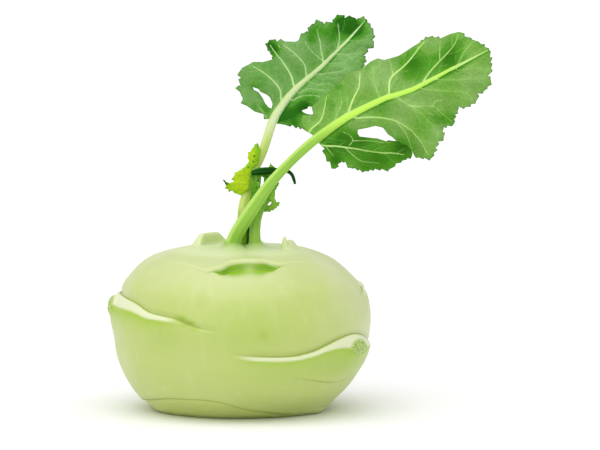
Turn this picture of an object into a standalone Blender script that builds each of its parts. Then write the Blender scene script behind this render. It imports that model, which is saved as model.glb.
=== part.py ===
# A kohlrabi: the swollen green bulb with the scars of its cut leaves, two leaves left standing
# on their stalks, and a young leaf between them. It stands on the flat of its trimmed root.
#
# The frame: X to the right, Y away from the viewer, Z up, with the origin in the middle of the
# flat base. Every size below is in millimetres, and MM turns it into Blender's metres.
# Round the bulb, an azimuth is in degrees from the front (-Y) towards +X, and a run is the way
# up the bulb's side from the edge of its base.

import math
import random
from collections import namedtuple

import bmesh
import bpy
import numpy as np
from mathutils import Vector
from mathutils.geometry import delaunay_2d_cdt

MM = 0.001

# Driving dimensions
BODY_RADIUS = 47.5
CROWN_HEIGHT = 60.0
BLADE_THICKNESS = 0.8
RIB_RISE = 0.6
PIECE_GAP = 0.35
FRONT_LEAF_ORIGIN = (27.2, -12.0, 99.6)
FRONT_LEAF_ANGLE = 27.4
FRONT_LEAF_SIZE = 0.985
BACK_LEAF_ORIGIN = (10.6, 8.0, 104.2)
BACK_LEAF_ANGLE = 47.3
BACK_LEAF_SIZE = 1.0
BASE_FRONT_FLAT = 4.0
BASE_FLAT_HEIGHT = 16.0
BASE_ROUNDING = 1.3
BASE_ROUNDING_HEIGHT = 2.4
LEFT_SHOULDER = 0.8

# Fineness of the meshes
BULB_COLUMNS = 240
BULB_ROW_STEP = 0.45
BULB_FACE_SHARE = 0.055
STALK_SIDES = 12
STALK_STEP = 4.0
BLADE_STEP = 3.8
MERGE_DISTANCE = 0.15

# Side of the bulb from the base's edge to the middle of the crown, as (radius, height)
BASE_RADIUS = 31.5
BULB_PROFILE = [
    (BASE_RADIUS, 0.0), (35.3, 4.0), (39.8, 8.5), (43.6, 14.2), (46.3, 20.7), (BODY_RADIUS, 29.0),
    (47.2, 36.0), (44.0, 45.0), (40.5, 49.5), (34.5, 54.8), (27.0, 58.3), (19.0, 59.7),
    (12.0, CROWN_HEIGHT), (0.0, CROWN_HEIGHT),
]
BASE_TRIM = 1.5

# A leaf scar: its line is (degrees from the centre, run) along the rim's crease. The rim stands
# out by rise on the lower side of the line, or on the upper side where facing is -1, and fades
# over fade millimetres. Beyond the line the skin can sink by hollow over hollow_width. The stub
# is what is left of the leaf's foot: how far it stands out, and its half-width in degrees. The
# band is how wide the rim is: at its ends, where it is widest, where that is, and its spread.
Scar = namedtuple("Scar", "centre line rise fade facing hollow hollow_width stub stub_half band")
NARROW_BAND = (1.1, 3.2, 0.0, 38.0)
FOLD_BAND = (0.5, 1.0, 0.0, 38.0)

SCARS = {
    "left_ledge": Scar(
        -84, [(-62, 43), (-35, 46.5), (-10, 49), (6, 49), (14, 48.7), (24, 48), (30.5, 46.9), (35.5, 45.7),
             (39, 45.1), (43, 44.7), (49.5, 44.1), (54.5, 43.6), (60, 42.2), (65.5, 40.9), (70.5, 40.1),
             (80, 39)],
        2.0, 13, 1, 0.5, 1.6, 1.3, 8, (1.0, 4.8, 4.0, 36.0)),
    "right_ledge": Scar(
        62, [(-68, 31.8), (-62, 31.4), (-57, 30.9), (-45, 30.5), (-37, 30.7), (-28, 32), (-22, 33.5),
             (-14, 35.2), (-8, 36), (-2, 36.1), (5.5, 35), (14.5, 32.6), (23.5, 30.6), (34, 29)],
        1.9, 13, 1, 0.5, 1.6, 0.7, 10, (1.4, 5.4, -6.0, 20.0)),
    "brow": Scar(
        2, [(-58, 66), (-48, 67), (-36, 65.8), (-28, 64.2), (-23, 63.4), (-18, 64.6), (-13.5, 65.8),
             (-9.5, 68.2), (-6, 69.2), (-1, 69.8), (3, 69.9), (8.5, 69.6), (13, 69.7), (16, 69.2), (18, 68.2),
             (21, 67.5), (23.5, 67.2), (32, 67.4), (43, 67.6), (53, 66), (62, 64)],
        1.0, 7, -1, 2.4, 9.4, 0.0, 1, FOLD_BAND),
    "base_fold": Scar(
        -20, [(-100, 5.5), (-76, 5.6), (-60, 6.2), (-41, 7.9), (-28.5, 9.7), (-18, 10.8), (-8, 11.3),
             (2, 11.5), (7, 11.2), (11.5, 10.3), (15.5, 9.1), (21, 7.4), (27, 5.9), (34.5, 4.6), (48.5, 2.4),
             (64, 1)],
        1.1, 7, -1, 0.6, 1.6, 0.0, 1, FOLD_BAND),
    "base_lip": Scar(
        66, [(-14, 4.5), (0, 4.0), (14, 4.5)],
        1.4, 4, 1, 0.2, 1.0, 0.0, 1, NARROW_BAND),
    "right_flank_fold": Scar(
        52, [(-30, 22.4), (-25, 22), (-16.5, 20.4), (-6, 18.5), (5.5, 17.9), (17.5, 18), (28, 19)],
        0.5, 6, -1, 0.2, 1.2, 0.0, 1, FOLD_BAND),
    "right_shoulder": Scar(
        112, [(-40, 48.5), (-15, 51), (0, 52.3), (20, 51.5), (45, 49)],
        1.4, 12, 1, 0.4, 1.6, 1.2, 8, NARROW_BAND),
    "back_ledge": Scar(
        176, [(-55, 38), (-25, 40), (0, 42), (25, 41), (50, 38)],
        2.0, 13, 1, 0.4, 1.6, 2.6, 9, NARROW_BAND),
    "back_low_ledge": Scar(
        -142, [(-50, 20), (-20, 20.5), (0, 22.5), (22, 21), (45, 18)],
        1.8, 12, 1, 0.4, 1.6, 2.0, 9, NARROW_BAND),
    "back_brow": Scar(
        -168, [(-45, 68), (-20, 67), (0, 70.5), (20, 67), (45, 66)],
        0.9, 8, -1, 1.2, 9, 0.0, 1, NARROW_BAND),
}
SCAR_END_SOFTNESS = 20.0
BROW_MIDDLE = 3.0
BROW_HALF = 23.0
WIDE_HOLLOW = 5.0
STUB_DROP = 4.6
STUB_HALF_HEIGHT = 4.4

# Low walls of cut leaf feet on the crown, as centre azimuth, half-width in degrees, radius,
# wall thickness and height
CrownWall = namedtuple("CrownWall", "centre half radius thickness height")
CROWN_WALLS = [
    CrownWall(-132, 34, 15.8, 2.4, 4.2),
    CrownWall(82, 27, 17.2, 2.2, 2.8),
    CrownWall(168, 20, 14.5, 2.4, 1.6),
    CrownWall(63, 3.5, 17.4, 1.0, 3.4),
]

# Stalks as (x, y, z, radius); the midribs follow in each leaf's own plane as (along, across, radius)
FRONT_STALK = [
    (-3.3, -8.2, 60.3, 3.5), (-2.6, -8.3, 63.5, 2.6), (-0.5, -8.6, 68.0, 2.2),
    (4.5, -9.3, 75.8, 1.9), (10.6, -10.2, 84.2, 1.75), (17.6, -11.0, 91.9, 1.7),
]
FRONT_MIDRIB = [
    (-3.0, 0.2, 1.7), (3.1, 1.4, 1.6), (9.0, 2.4, 1.45), (14.7, 3.0, 1.3), (20.0, 3.0, 1.15),
    (25.4, 2.9, 1.05), (30.6, 2.6, 0.95), (35.4, 1.6, 0.85), (40.4, 0.8, 0.8), (45.7, 0.7, 0.7),
    (51.1, 0.7, 0.6), (56.6, 0.8, 0.5), (60.5, 0.7, 0.4),
]
BACK_STALK = [
    (1.3, 0.6, 60.3, 3.0), (1.2, 0.8, 63.5, 2.8), (1.1, 1.2, 68.0, 2.6), (1.5, 2.0, 74.5, 2.4),
    (2.7, 2.9, 81.0, 1.85), (4.6, 3.6, 87.6, 1.65), (7.9, 5.4, 95.0, 1.65),
]
BACK_MIDRIB = [
    (0.3, -0.2, 1.65), (4.3, 1.1, 1.5), (8.1, 1.7, 1.4), (12.0, 2.1, 1.3), (16.3, 2.1, 1.1),
    (20.5, 1.7, 0.9), (24.9, 1.1, 0.8), (29.1, 0.6, 0.7), (33.1, 0.5, 0.55), (38.0, 0.3, 0.45),
    (42.0, 0.1, 0.4),
]
YOUNG_STALK = [
    (5.2, -6.2, 60.3, 2.7), (4.9, -5.8, 63.5, 2.1), (5.0, -5.0, 67.0, 1.9), (5.7, -4.0, 71.0, 1.7),
    (7.6, -2.6, 76.0, 1.4), (9.6, -1.6, 81.0, 1.1), (11.0, -1.2, 85.5, 0.8),
]
ROLLED_LEAFLET = [
    (3.7, -3.1, 87.7, 1.0), (7.5, -3.2, 87.9, 1.15), (10.8, -3.2, 87.9, 1.1), (13.8, -3.2, 88.1, 0.9),
    (16.6, -3.1, 88.2, 0.7), (18.4, -3.0, 87.0, 0.6), (19.2, -3.0, 85.2, 0.55), (19.7, -3.0, 83.4, 0.4),
]

# Leaf margins in each leaf's plane, as (along the leaf, across it), round from the upper side of
# the stalk, over the tip, and back below it
FRONT_MARGIN = [
    (-1.6, 5.8), (-1.5, 9.1), (0.2, 10.9), (3.8, 9.0), (4.7, 12.3), (9.0, 13.3), (12.0, 13.9),
    (15.3, 14.9), (18.3, 15.5), (22.9, 17.2), (26.7, 16.0), (31.4, 16.8), (34.5, 16.6),
    (36.4, 15.0), (41.9, 14.1), (45.7, 14.3), (50.8, 14.6), (54.5, 15.1), (56.6, 14.0),
    (58.3, 12.6), (62.0, 12.3), (65.6, 11.4), (66.8, 9.0), (68.8, 6.6), (70.7, 4.0), (72.5, 0.4),
    (71.6, -1.9), (70.1, -5.9), (67.7, -7.9), (67.7, -10.6), (63.8, -12.4), (61.2, -12.1),
    (59.4, -14.5), (55.2, -14.4), (52.8, -12.7), (51.7, -14.5), (50.2, -15.1), (47.9, -18.5),
    (43.9, -16.9), (42.6, -20.9), (40.0, -21.1), (35.0, -25.6), (31.0, -23.5), (29.9, -21.2),
]
FRONT_SINUS = [
    (29.7, -19.5), (29.0, -17.3), (27.5, -15.2), (26.4, -13.5), (25.9, -11.9), (25.0, -10.1),
    (24.5, -6.9), (22.3, -4.9), (19.4, -4.2), (15.9, -3.2), (15.2, -4.5), (15.3, -5.9),
    (18.5, -8.1), (20.9, -9.6), (23.0, -11.8), (25.1, -13.7), (26.1, -14.3), (27.1, -15.5),
    (28.6, -17.5), (29.3, -19.7), (29.3, -21.5),
]
FRONT_LOBE = [
    (28.6, -22.2), (27.0, -21.8), (25.0, -21.5), (22.5, -21.2), (19.5, -22.1), (14.5, -19.8),
    (10.9, -18.6), (8.2, -15.4), (6.9, -14.8), (6.3, -11.8), (5.1, -10.1), (1.6, -12.5),
    (1.2, -9.1), (0.8, -6.2), (1.8, -3.8),
]
BACK_MARGIN = [
    (-0.1, 3.2), (1.2, 4.5), (-0.2, 7.5), (-0.5, 11.0), (-1.3, 13.6), (0.4, 14.0), (1.5, 16.6),
    (1.4, 18.8), (3.2, 17.8), (5.7, 19.8), (5.9, 21.7), (8.9, 22.1), (13.0, 20.6), (15.2, 17.8),
    (18.2, 15.8), (19.3, 16.4), (20.2, 20.1), (21.9, 21.4), (23.3, 21.5), (24.4, 19.2),
    (26.1, 18.9), (26.3, 17.1), (28.9, 13.8), (30.1, 13.5), (33.1, 13.9), (34.6, 12.8),
    (36.4, 14.0), (38.3, 13.4), (40.3, 13.1), (40.4, 10.6), (42.0, 10.2), (42.7, 8.4),
    (44.5, 9.1), (46.8, 8.6), (47.2, 6.4), (49.3, 4.9), (49.6, 2.8), (50.7, 2.4), (52.1, 0.6),
    (51.2, -3.1), (50.1, -5.5), (48.1, -6.5), (47.3, -8.2), (44.7, -7.4), (41.9, -8.1),
    (41.4, -9.5), (38.1, -10.7), (35.5, -12.9), (32.0, -12.2), (29.5, -13.6), (26.0, -12.8),
    (23.4, -13.4), (21.0, -10.6), (18.6, -9.0), (16.9, -6.8), (14.5, -5.7), (11.8, -4.9),
]
BACK_SINUS = [(11.6, -5.5), (12.0, -6.9)]
BACK_LOBE = [
    (12.9, -8.3), (13.9, -10.6), (11.4, -12.6), (8.6, -11.6), (7.1, -9.2), (6.6, -7.8), (5.6, -5.8),
    (3.6, -3.8),
]
# Where the margin above the midrib is rolled back, and so shows no teeth, as (from, to) along the leaf
FRONT_ROLLED = [(-2.0, 50.9), (58.2, 65.7)]
BACK_ROLLED = [(-2.0, 1.6), (5.8, 18.3), (24.3, 30.2)]
TOOTH_PITCH = 2.3
TOOTH_DEPTH = 0.8
TOOTH_LEAN = 0.74
# The slit between the front leaf and the lobe tucked behind it, as (along, across)
LOBE_SLIT = [(24.5, -12.2), (26.2, -13.9), (27.3, -15.35), (28.8, -17.4), (29.5, -19.6), (29.9, -22.5)]
LOBE_TUCK = 1.6
BACK_HOLE = [
    (6.0, 14.4), (6.9, 12.2), (6.6, 11.0), (7.3, 8.7), (7.4, 7.0), (6.2, 4.6), (4.7, 3.8),
    (4.3, 5.0), (4.6, 6.8), (5.4, 8.8), (6.0, 11.4), (5.4, 13.2),
]
# The leaflets low on the back stalk and the young leaf, as (x, z)
WING_OUTLINE = [
    (6.4, 97.2), (5.8, 98.3), (4.7, 97.2), (3.6, 95.5), (2.3, 94.5), (2.2, 92.4), (2.6, 91.1),
    (1.4, 89.6), (-0.9, 88.1), (-2.6, 87.3), (-2.8, 86.0), (-3.9, 84.8), (-2.8, 84.3),
    (-4.1, 83.7), (-5.1, 83.9), (-7.2, 85.6), (-5.9, 83.2), (-6.0, 81.4), (-4.9, 81.3),
    (-4.6, 80.2), (-3.2, 80.5), (-2.4, 79.6), (-0.1, 78.8), (1.4, 79.9), (3.1, 81.5),
    (3.4, 84.6), (3.6, 87.7), (4.6, 89.2), (6.2, 90.2), (6.5, 92.8), (7.2, 95.3),
]
YOUNG_OUTLINE = [
    (3.7, 88.6), (3.2, 86.2), (3.7, 84.6), (3.2, 82.1), (3.4, 79.4), (2.9, 76.4), (4.6, 77.0),
    (6.2, 76.6), (6.6, 74.6), (8.1, 72.9), (10.2, 72.8), (11.7, 73.5), (13.8, 75.2), (14.6, 77.0),
    (13.2, 76.6), (12.5, 77.6), (12.4, 79.1), (12.8, 81.3), (14.0, 83.4), (13.6, 86.4),
    (13.2, 88.8), (11.6, 90.0), (10.6, 91.6), (10.3, 89.8), (8.6, 89.3), (6.2, 89.4),
]
YOUNG_HOLES = [
    [(7.3, 86.0), (8.3, 85.6), (8.2, 83.6), (7.8, 81.8), (6.9, 82.1), (7.2, 84.0)],
    [(9.6, 75.7), (10.4, 76.6), (11.2, 76.7), (10.6, 75.6), (9.9, 75.3)],
]

# Raised ribs of the two big leaves, from the midrib out
FRONT_RIBS = [
    [(-0.4, 4.4), (5.3, 6.1), (8.8, 9.7), (11.2, 13.0)],
    [(9.3, 3.4), (13.9, 7.0), (15.8, 9.4)],
    [(16.0, 4.3), (19.4, 7.4), (23.6, 10.6), (26.2, 15.0)],
    [(28.8, 4.1), (28.9, 7.9), (31.3, 14.2)],
    [(32.3, 3.4), (35.3, 7.8), (43.1, 10.2), (52.8, 14.0)],
    [(44.9, 1.2), (48.6, 3.1), (53.9, 5.1), (61.3, 7.8), (64.8, 10.3)],
    [(60.3, 1.6), (63.6, 3.9), (68.2, 5.6)],
    [(1.2, -1.8), (6.5, -5.1), (10.0, -7.7), (15.4, -11.9), (22.3, -16.8), (26.2, -20.0)],
    [(17.3, 1.2), (23.0, -1.5), (29.2, -6.1), (32.9, -11.5), (34.5, -16.7), (35.1, -23.9)],
    [(33.7, 0.5), (37.5, -4.7), (43.7, -8.4), (47.4, -16.0)],
    [(42.8, -0.7), (48.6, -4.2), (55.3, -8.8), (57.4, -13.0)],
    [(49.6, -0.4), (56.9, -3.7), (64.6, -9.6)],
    [(58.8, -0.6), (65.2, -3.4), (68.6, -6.2)],
]
BACK_RIBS = [
    [(9.6, 3.6), (11.6, 5.7), (12.5, 8.3), (12.7, 12.7), (12.2, 17.5), (11.7, 19.9)],
    [(16.3, 3.4), (18.4, 6.5), (19.6, 10.0), (20.4, 13.2), (21.2, 17.4), (22.0, 20.2)],
    [(22.2, 2.6), (24.6, 5.5), (25.2, 8.5), (25.4, 12.5), (25.0, 16.9)],
    [(30.3, 1.6), (32.8, 5.0), (34.9, 7.4), (37.6, 11.6)],
    [(37.7, 1.2), (40.5, 2.8), (44.2, 7.2)],
    [(12.0, 0.1), (15.5, -1.4), (18.3, -3.6), (20.4, -8.4)],
    [(20.9, -0.3), (23.9, -3.3), (26.5, -6.6), (28.4, -11.8)],
    [(25.4, -0.2), (29.1, -3.2), (33.6, -6.2), (36.4, -10.8)],
    [(36.0, -1.1), (38.9, -3.7), (43.4, -6.6)],
]


def clear_scene():
    for thing in list(bpy.data.objects):
        bpy.data.objects.remove(thing, do_unlink=True)


def material(name, colour, roughness):
    """A plain skin: a Principled surface in the plant's colour."""
    skin = bpy.data.materials.new(name)
    skin.use_nodes = True
    surface = skin.node_tree.nodes["Principled BSDF"]
    surface.inputs["Base Color"].default_value = (*colour, 1.0)
    surface.inputs["Roughness"].default_value = roughness
    surface.inputs["Metallic"].default_value = 0.0
    skin.diffuse_color = (*colour, 1.0)
    return skin


def new_object(name, mesh, skin):
    mesh.materials.clear()
    mesh.materials.append(skin)
    thing = bpy.data.objects.new(name, mesh)
    bpy.context.collection.objects.link(thing)
    return thing


def mesh_from(name, points, faces):
    """A mesh from points in millimetres, with its faces turned to point outwards."""
    mesh = bpy.data.meshes.new(name)
    mesh.from_pydata([tuple(np.array(p) * MM) for p in points], [], faces)
    work = bmesh.new()
    work.from_mesh(mesh)
    bmesh.ops.recalc_face_normals(work, faces=work.faces)
    work.to_mesh(mesh)
    work.free()
    return mesh


def smooth_through(points, spacing):
    """Rows about spacing apart on a smooth curve through the given rows."""
    rows = [np.array(p, float) for p in points]
    rows = [2 * rows[0] - rows[1], *rows, 2 * rows[-1] - rows[-2]]
    curve = []
    for before, start, end, after in zip(rows, rows[1:], rows[2:], rows[3:]):
        steps = max(1, round(float(np.linalg.norm((end - start)[:3])) / spacing))
        for k in range(steps):
            t = k / steps
            slope = (end - before) * t
            bend = (2 * before - 5 * start + 4 * end - after) * t ** 2
            twist = (3 * start - before - 3 * end + after) * t ** 3
            curve.append(start + 0.5 * (slope + bend + twist))
    curve.append(rows[-2])
    return np.array(curve)


def ease(value):
    """0 below 0, 1 above 1, and smooth between."""
    t = np.clip(value, 0.0, 1.0)
    return t * t * (3 - 2 * t)


def turn_from(azimuth, centre):
    """Degrees from the centre azimuth, from -180 to 180."""
    return (azimuth - centre + 180.0) % 360.0 - 180.0


def scooped(off, below, width):
    """The hollow under a brow: deep at the brow's edge and rising smoothly away from it."""
    inward = BROW_HALF - np.abs(off - BROW_MIDDLE)
    depth = -below / (width * (0.1 + 0.9 * ease(inward / 16)))
    return np.interp(depth, [0, 0.12, 0.4, 0.75, 1.0], [0, 1.0, 0.72, 0.25, 0]) * ease(inward / 9)


def scar_relief(scar, run, azimuth):
    """How far a leaf scar moves the skin out or in, in millimetres."""
    off = turn_from(azimuth, scar.centre)
    angles, runs = smooth_through(scar.line, 1.0).T
    along = ease((off - angles[0]) / SCAR_END_SOFTNESS) * ease((angles[-1] - off) / SCAR_END_SOFTNESS)
    below = (np.interp(off, angles, runs) - run) * scar.facing
    thin, thick, peak, spread = scar.band
    band = thin + (thick - thin) * along * np.exp(-((off - peak) / spread) ** 2)
    rim = np.interp(below / band, [0, 0.15, 0.6, 1.0, 1.3], [0, 0.35, 0.8, 1.0, 0.85])
    fading = 1 - ease((below - 1.2 * band) / scar.fade)
    height = scar.rise * along * (0.5 + 0.5 * np.exp(-(off / 32.0) ** 2))
    if scar.hollow_width > WIDE_HOLLOW:
        sunk = scooped(off, below, scar.hollow_width)
    else:
        sunk = np.interp(-below / scar.hollow_width, [0, 0.12, 0.5, 1.0], [0, 1.0, 0.8, 0]) * along
    across = off / scar.stub_half
    down = (below - STUB_DROP) / STUB_HALF_HEIGHT
    stub = np.clip(1.5 * (1 - across ** 2 - down ** 2), 0, 1)
    return height * rim * fading * (below > 0) - scar.hollow * sunk + scar.stub * stub


def wall_height(wall, radius, azimuth):
    """Height of a low wall on the crown: steep inside, sloping outside."""
    off = turn_from(azimuth, wall.centre)
    along = ease((wall.half - np.abs(off)) / (0.45 * wall.half))
    inner = ease((radius - wall.radius + 0.9) / 0.9)
    outer = ease((wall.radius + 2 * wall.thickness - radius) / (1.4 * wall.thickness))
    return wall.height * along * inner * outer


def bulb_points(run, azimuth):
    """Places on the bulb's skin in millimetres, from arrays of runs and azimuths."""
    profile = smooth_through(BULB_PROFILE, 0.5)
    steps = np.linalg.norm(np.diff(profile, axis=0), axis=1)
    runs = np.concatenate([[0.0], np.cumsum(steps)])
    run = run * runs[-1]
    radius = np.interp(run, runs, profile[:, 0])
    height = np.interp(run, runs, profile[:, 1])
    slope = np.gradient(profile, axis=0)
    out_r = np.interp(run, runs, slope[:, 1])
    out_z = np.interp(run, runs, -slope[:, 0])
    size = np.hypot(out_r, out_z)
    turn = np.radians(azimuth)
    front = np.clip(np.cos(turn), 0, 1) ** 2
    radius = radius - BASE_FRONT_FLAT * front * (1 - ease(height / BASE_FLAT_HEIGHT))
    middle = np.sin(math.pi * np.clip(height / CROWN_HEIGHT, 0, 1))
    swell = middle * (0.5 * np.cos(turn - 1.3) + 0.4 * np.cos(2 * turn + 0.4) + 0.3 * np.cos(3 * turn - 1.0))
    shoulder = ease((height - 40) / 12) * (1 - ease((height - 55) / 4)) * LEFT_SHOULDER
    shoulder = shoulder * np.clip(-np.sin(turn), 0, 1)
    relief = sum(scar_relief(scar, run, azimuth) for scar in SCARS.values())
    outward = (swell + shoulder + relief) * ease(radius / 14.0)
    rounding = BASE_ROUNDING * (1 - ease(height / BASE_ROUNDING_HEIGHT)) ** 2
    radius = radius + outward * out_r / size - rounding
    height = height + outward * out_z / size
    height = height + sum(wall_height(wall, radius, azimuth) for wall in CROWN_WALLS)
    lean = -0.7 * (1 - ease(height / 40.0))
    return np.stack([radius * np.sin(turn) + lean, -radius * np.cos(turn), height], axis=-1)


def make_bulb(skin):
    """The swollen stem with its leaf scars, cut flat below where the root was trimmed off."""
    rows = round(sum(math.dist(a, b) for a, b in zip(BULB_PROFILE, BULB_PROFILE[1:])) / BULB_ROW_STEP)
    azimuth = np.arange(BULB_COLUMNS) * 360.0 / BULB_COLUMNS
    runs = np.arange(rows) / rows
    grid = bulb_points(runs[:, None] + 0 * azimuth[None, :], azimuth[None, :] + 0 * runs[:, None])
    skirt = grid[0] * [1, 1, 0] - [0, 0, BASE_TRIM]
    points = [*skirt, *grid.reshape(-1, 3), (0, 0, CROWN_HEIGHT), (0, 0, -BASE_TRIM)]
    top, bottom = len(points) - 2, len(points) - 1
    faces = []
    for column in range(BULB_COLUMNS):
        right = (column + 1) % BULB_COLUMNS
        for row in range(rows):
            low = row * BULB_COLUMNS
            high = low + BULB_COLUMNS
            faces.append((low + column, low + right, high + right, high + column))
        last = rows * BULB_COLUMNS
        faces.append((last + column, last + right, top))
        faces.append((right, column, bottom))
    bulb = new_object("bulb", mesh_from("bulb", points, faces), skin)
    thin_out = bulb.modifiers.new("thin_out", "DECIMATE")
    thin_out.ratio = BULB_FACE_SHARE
    bulb.data = bpy.data.meshes.new_from_object(bulb.evaluated_get(bpy.context.evaluated_depsgraph_get()))
    bulb.modifiers.clear()
    cut_base(bulb.data)
    bulb.data.shade_smooth()
    bulb.data.set_sharp_from_angle(angle=math.radians(40))
    return bulb


def cut_base(mesh):
    """Trim the bulb flat at height 0 and close the cut."""
    work = bmesh.new()
    work.from_mesh(mesh)
    bmesh.ops.bisect_plane(
        work, geom=[*work.verts, *work.edges, *work.faces], plane_co=(0, 0, 0), plane_no=(0, 0, -1),
        clear_outer=True)
    bmesh.ops.remove_doubles(work, verts=work.verts, dist=MERGE_DISTANCE * MM)
    for vert in work.verts:
        if vert.co.z < MERGE_DISTANCE * MM:
            vert.co.z = 0.0
    rim = [edge for edge in work.edges if edge.is_boundary]
    bmesh.ops.edgeloop_fill(work, edges=rim)
    bmesh.ops.triangulate(work, faces=work.faces)
    bmesh.ops.recalc_face_normals(work, faces=work.faces)
    work.to_mesh(mesh)
    work.free()


def tube_mesh(name, route, sides):
    """A round stalk along rows of (x, y, z, radius), flat at its foot and closed at both ends."""
    places = route[:, :3]
    heading = np.gradient(places, axis=0)
    heading[0] = (0, 0, 1) if heading[0][2] > 0.9 * np.linalg.norm(heading[0]) else heading[0]
    side = np.array([0.0, 1.0, 0.0])
    points = []
    for place, way, radius in zip(places, heading, route[:, 3]):
        way = way / np.linalg.norm(way)
        side = side - way * side.dot(way)
        side = side / np.linalg.norm(side)
        other = np.cross(way, side)
        for k in range(sides):
            turn = 2 * math.pi * k / sides
            points.append(place + radius * (math.cos(turn) * side + math.sin(turn) * other))
    faces = []
    for ring in range(len(places) - 1):
        for k in range(sides):
            a = ring * sides + k
            b = ring * sides + (k + 1) % sides
            faces.append((a, b, b + sides, a + sides))
    first, last = len(points), len(points) + 1
    points += [places[0], places[-1]]
    end = (len(places) - 1) * sides
    for k in range(sides):
        faces.append((first, (k + 1) % sides, k))
        faces.append((last, end + k, end + (k + 1) % sides))
    return mesh_from(name, points, faces)


def make_stalk(name, route, skin, sides=STALK_SIDES, spacing=STALK_STEP):
    stalk = new_object(name, tube_mesh(name, smooth_through(route, spacing), sides), skin)
    stalk.data.shade_smooth()
    stalk.data.set_sharp_from_angle(angle=math.radians(50))
    return stalk


def leaf_place(origin, angle, size, along, across, back):
    """The place of a point of a leaf's plane, which stands at this angle above level."""
    tilt = math.radians(angle)
    x = origin[0] + size * (along * math.cos(tilt) - across * math.sin(tilt))
    z = origin[2] + size * (along * math.sin(tilt) + across * math.cos(tilt))
    return (x, origin[1] + back, z)


def midrib_value(midrib, along, column):
    """The midrib's place across the leaf (column 1) or its radius (column 2)."""
    return float(np.interp(along, [row[0] for row in midrib], [row[column] for row in midrib]))


def front_bend(along, across):
    """How far the front leaf bends away from the viewer: edges cupped back, margin waved."""
    off = across - midrib_value(FRONT_MIDRIB, along, 1)
    cup = 0.26 * off * off / (abs(off) + 4.0)
    arch = 5.0 * (max(along, 0.0) / 72.5) ** 2
    wave = 1.4 * (abs(off) / 14.0) ** 1.5 * math.sin(along / 2.5 + (0.6 if off > 0 else 2.1))
    lobe = 2.0 * float(ease((-across - 5) / 12) * ease((31 - along) / 6))
    return cup + arch + wave + lobe


def back_bend(along, across):
    """How far the back leaf bends: edges cupped to the viewer, tip arched back, margin waved."""
    off = across - midrib_value(BACK_MIDRIB, along, 1)
    cup = -0.28 * off * off / (abs(off) + 4.0)
    arch = 5.0 * (max(along, 0.0) / 52.0) ** 2
    wave = 1.5 * (abs(off) / 13.0) ** 1.5 * math.sin(along / 2.2 + (0.0 if off > 0 else 1.7))
    return cup + arch + wave


def wing_bend(x, z):
    """The lime leaflets lie just before the back stalk and curl forward at the left."""
    stalk_front = np.interp(z, [76.5, 87.6, 95.0, 99.0], [0.7, 1.95, 3.75, 4.9])
    return float(stalk_front) - 0.75 - 0.03 * max(3.0 - x, 0.0) ** 2


def young_bend(x, z):
    """The young leaf hangs nearly flat between the stalks, its lower lobe curled forward."""
    return -1.2 + 0.05 * (x - 8.0) * (z - 82.0) / 8.0


def inside(point, outline):
    """Whether a point lies in a closed outline."""
    x, y = point
    within = False
    for (x1, y1), (x2, y2) in zip(outline, outline[1:] + outline[:1]):
        if (y1 > y) != (y2 > y) and x < (x2 - x1) * (y - y1) / (y2 - y1) + x1:
            within = not within
    return within


def toothed(margin, rolled, rng):
    """The margin with a small tooth on each pitch of it, pointing outwards and to the leaf's tip.
    Its rolled parts, above the midrib, stay plain."""
    teeth = [margin[0]]
    for (x1, y1), (x2, y2) in zip(margin, margin[1:]):
        if min(y1, y2) > 0 and any(low <= min(x1, x2) and max(x1, x2) <= high for low, high in rolled):
            teeth.append((x2, y2))
            continue
        length = math.dist((x1, y1), (x2, y2))
        count = max(1, round(length / TOOTH_PITCH))
        out = ((y1 - y2) / length, (x2 - x1) / length)
        lean = TOOTH_LEAN if x2 > x1 else 1 - TOOTH_LEAN
        for k in range(count):
            at = (k + lean) / count
            rise = TOOTH_DEPTH * rng.uniform(0.5, 1.3) * min(1.0, length / count / TOOTH_PITCH)
            teeth.append((x1 + (x2 - x1) * at + out[0] * rise, y1 + (y2 - y1) * at + out[1] * rise))
            teeth.append((x1 + (x2 - x1) * (k + 1) / count, y1 + (y2 - y1) * (k + 1) / count))
    return teeth


def tucked(along, across):
    """1 in the lobe by its slit, 0 on the blade's side of it and far from it."""
    slit_along, slit_across = zip(*LOBE_SLIT)
    side = np.interp(along, slit_along, slit_across) - across
    near = np.exp(-(np.clip(side, 0, 60) / 6.0) ** 2)
    return float(ease(side / 0.25) * near * ease((along - 19) / 6) * ease((30.0 - along) / 0.4))


def slot_along(midrib, start, end):
    """The two sides of the slot that a midrib lies in, out along one side and back on the other."""
    stations = np.linspace(start, end, round((end - start) / 3.0) + 1)
    lower, upper = [], []
    for along in stations:
        middle = midrib_value(midrib, along, 1)
        half = midrib_value(midrib, along, 2) + PIECE_GAP
        lower.append((float(along), middle - half))
        upper.append((float(along), middle + half))
    tip = (end + 1.2, midrib_value(midrib, end, 1))
    return [*lower, tip, *reversed(upper)]


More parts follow.
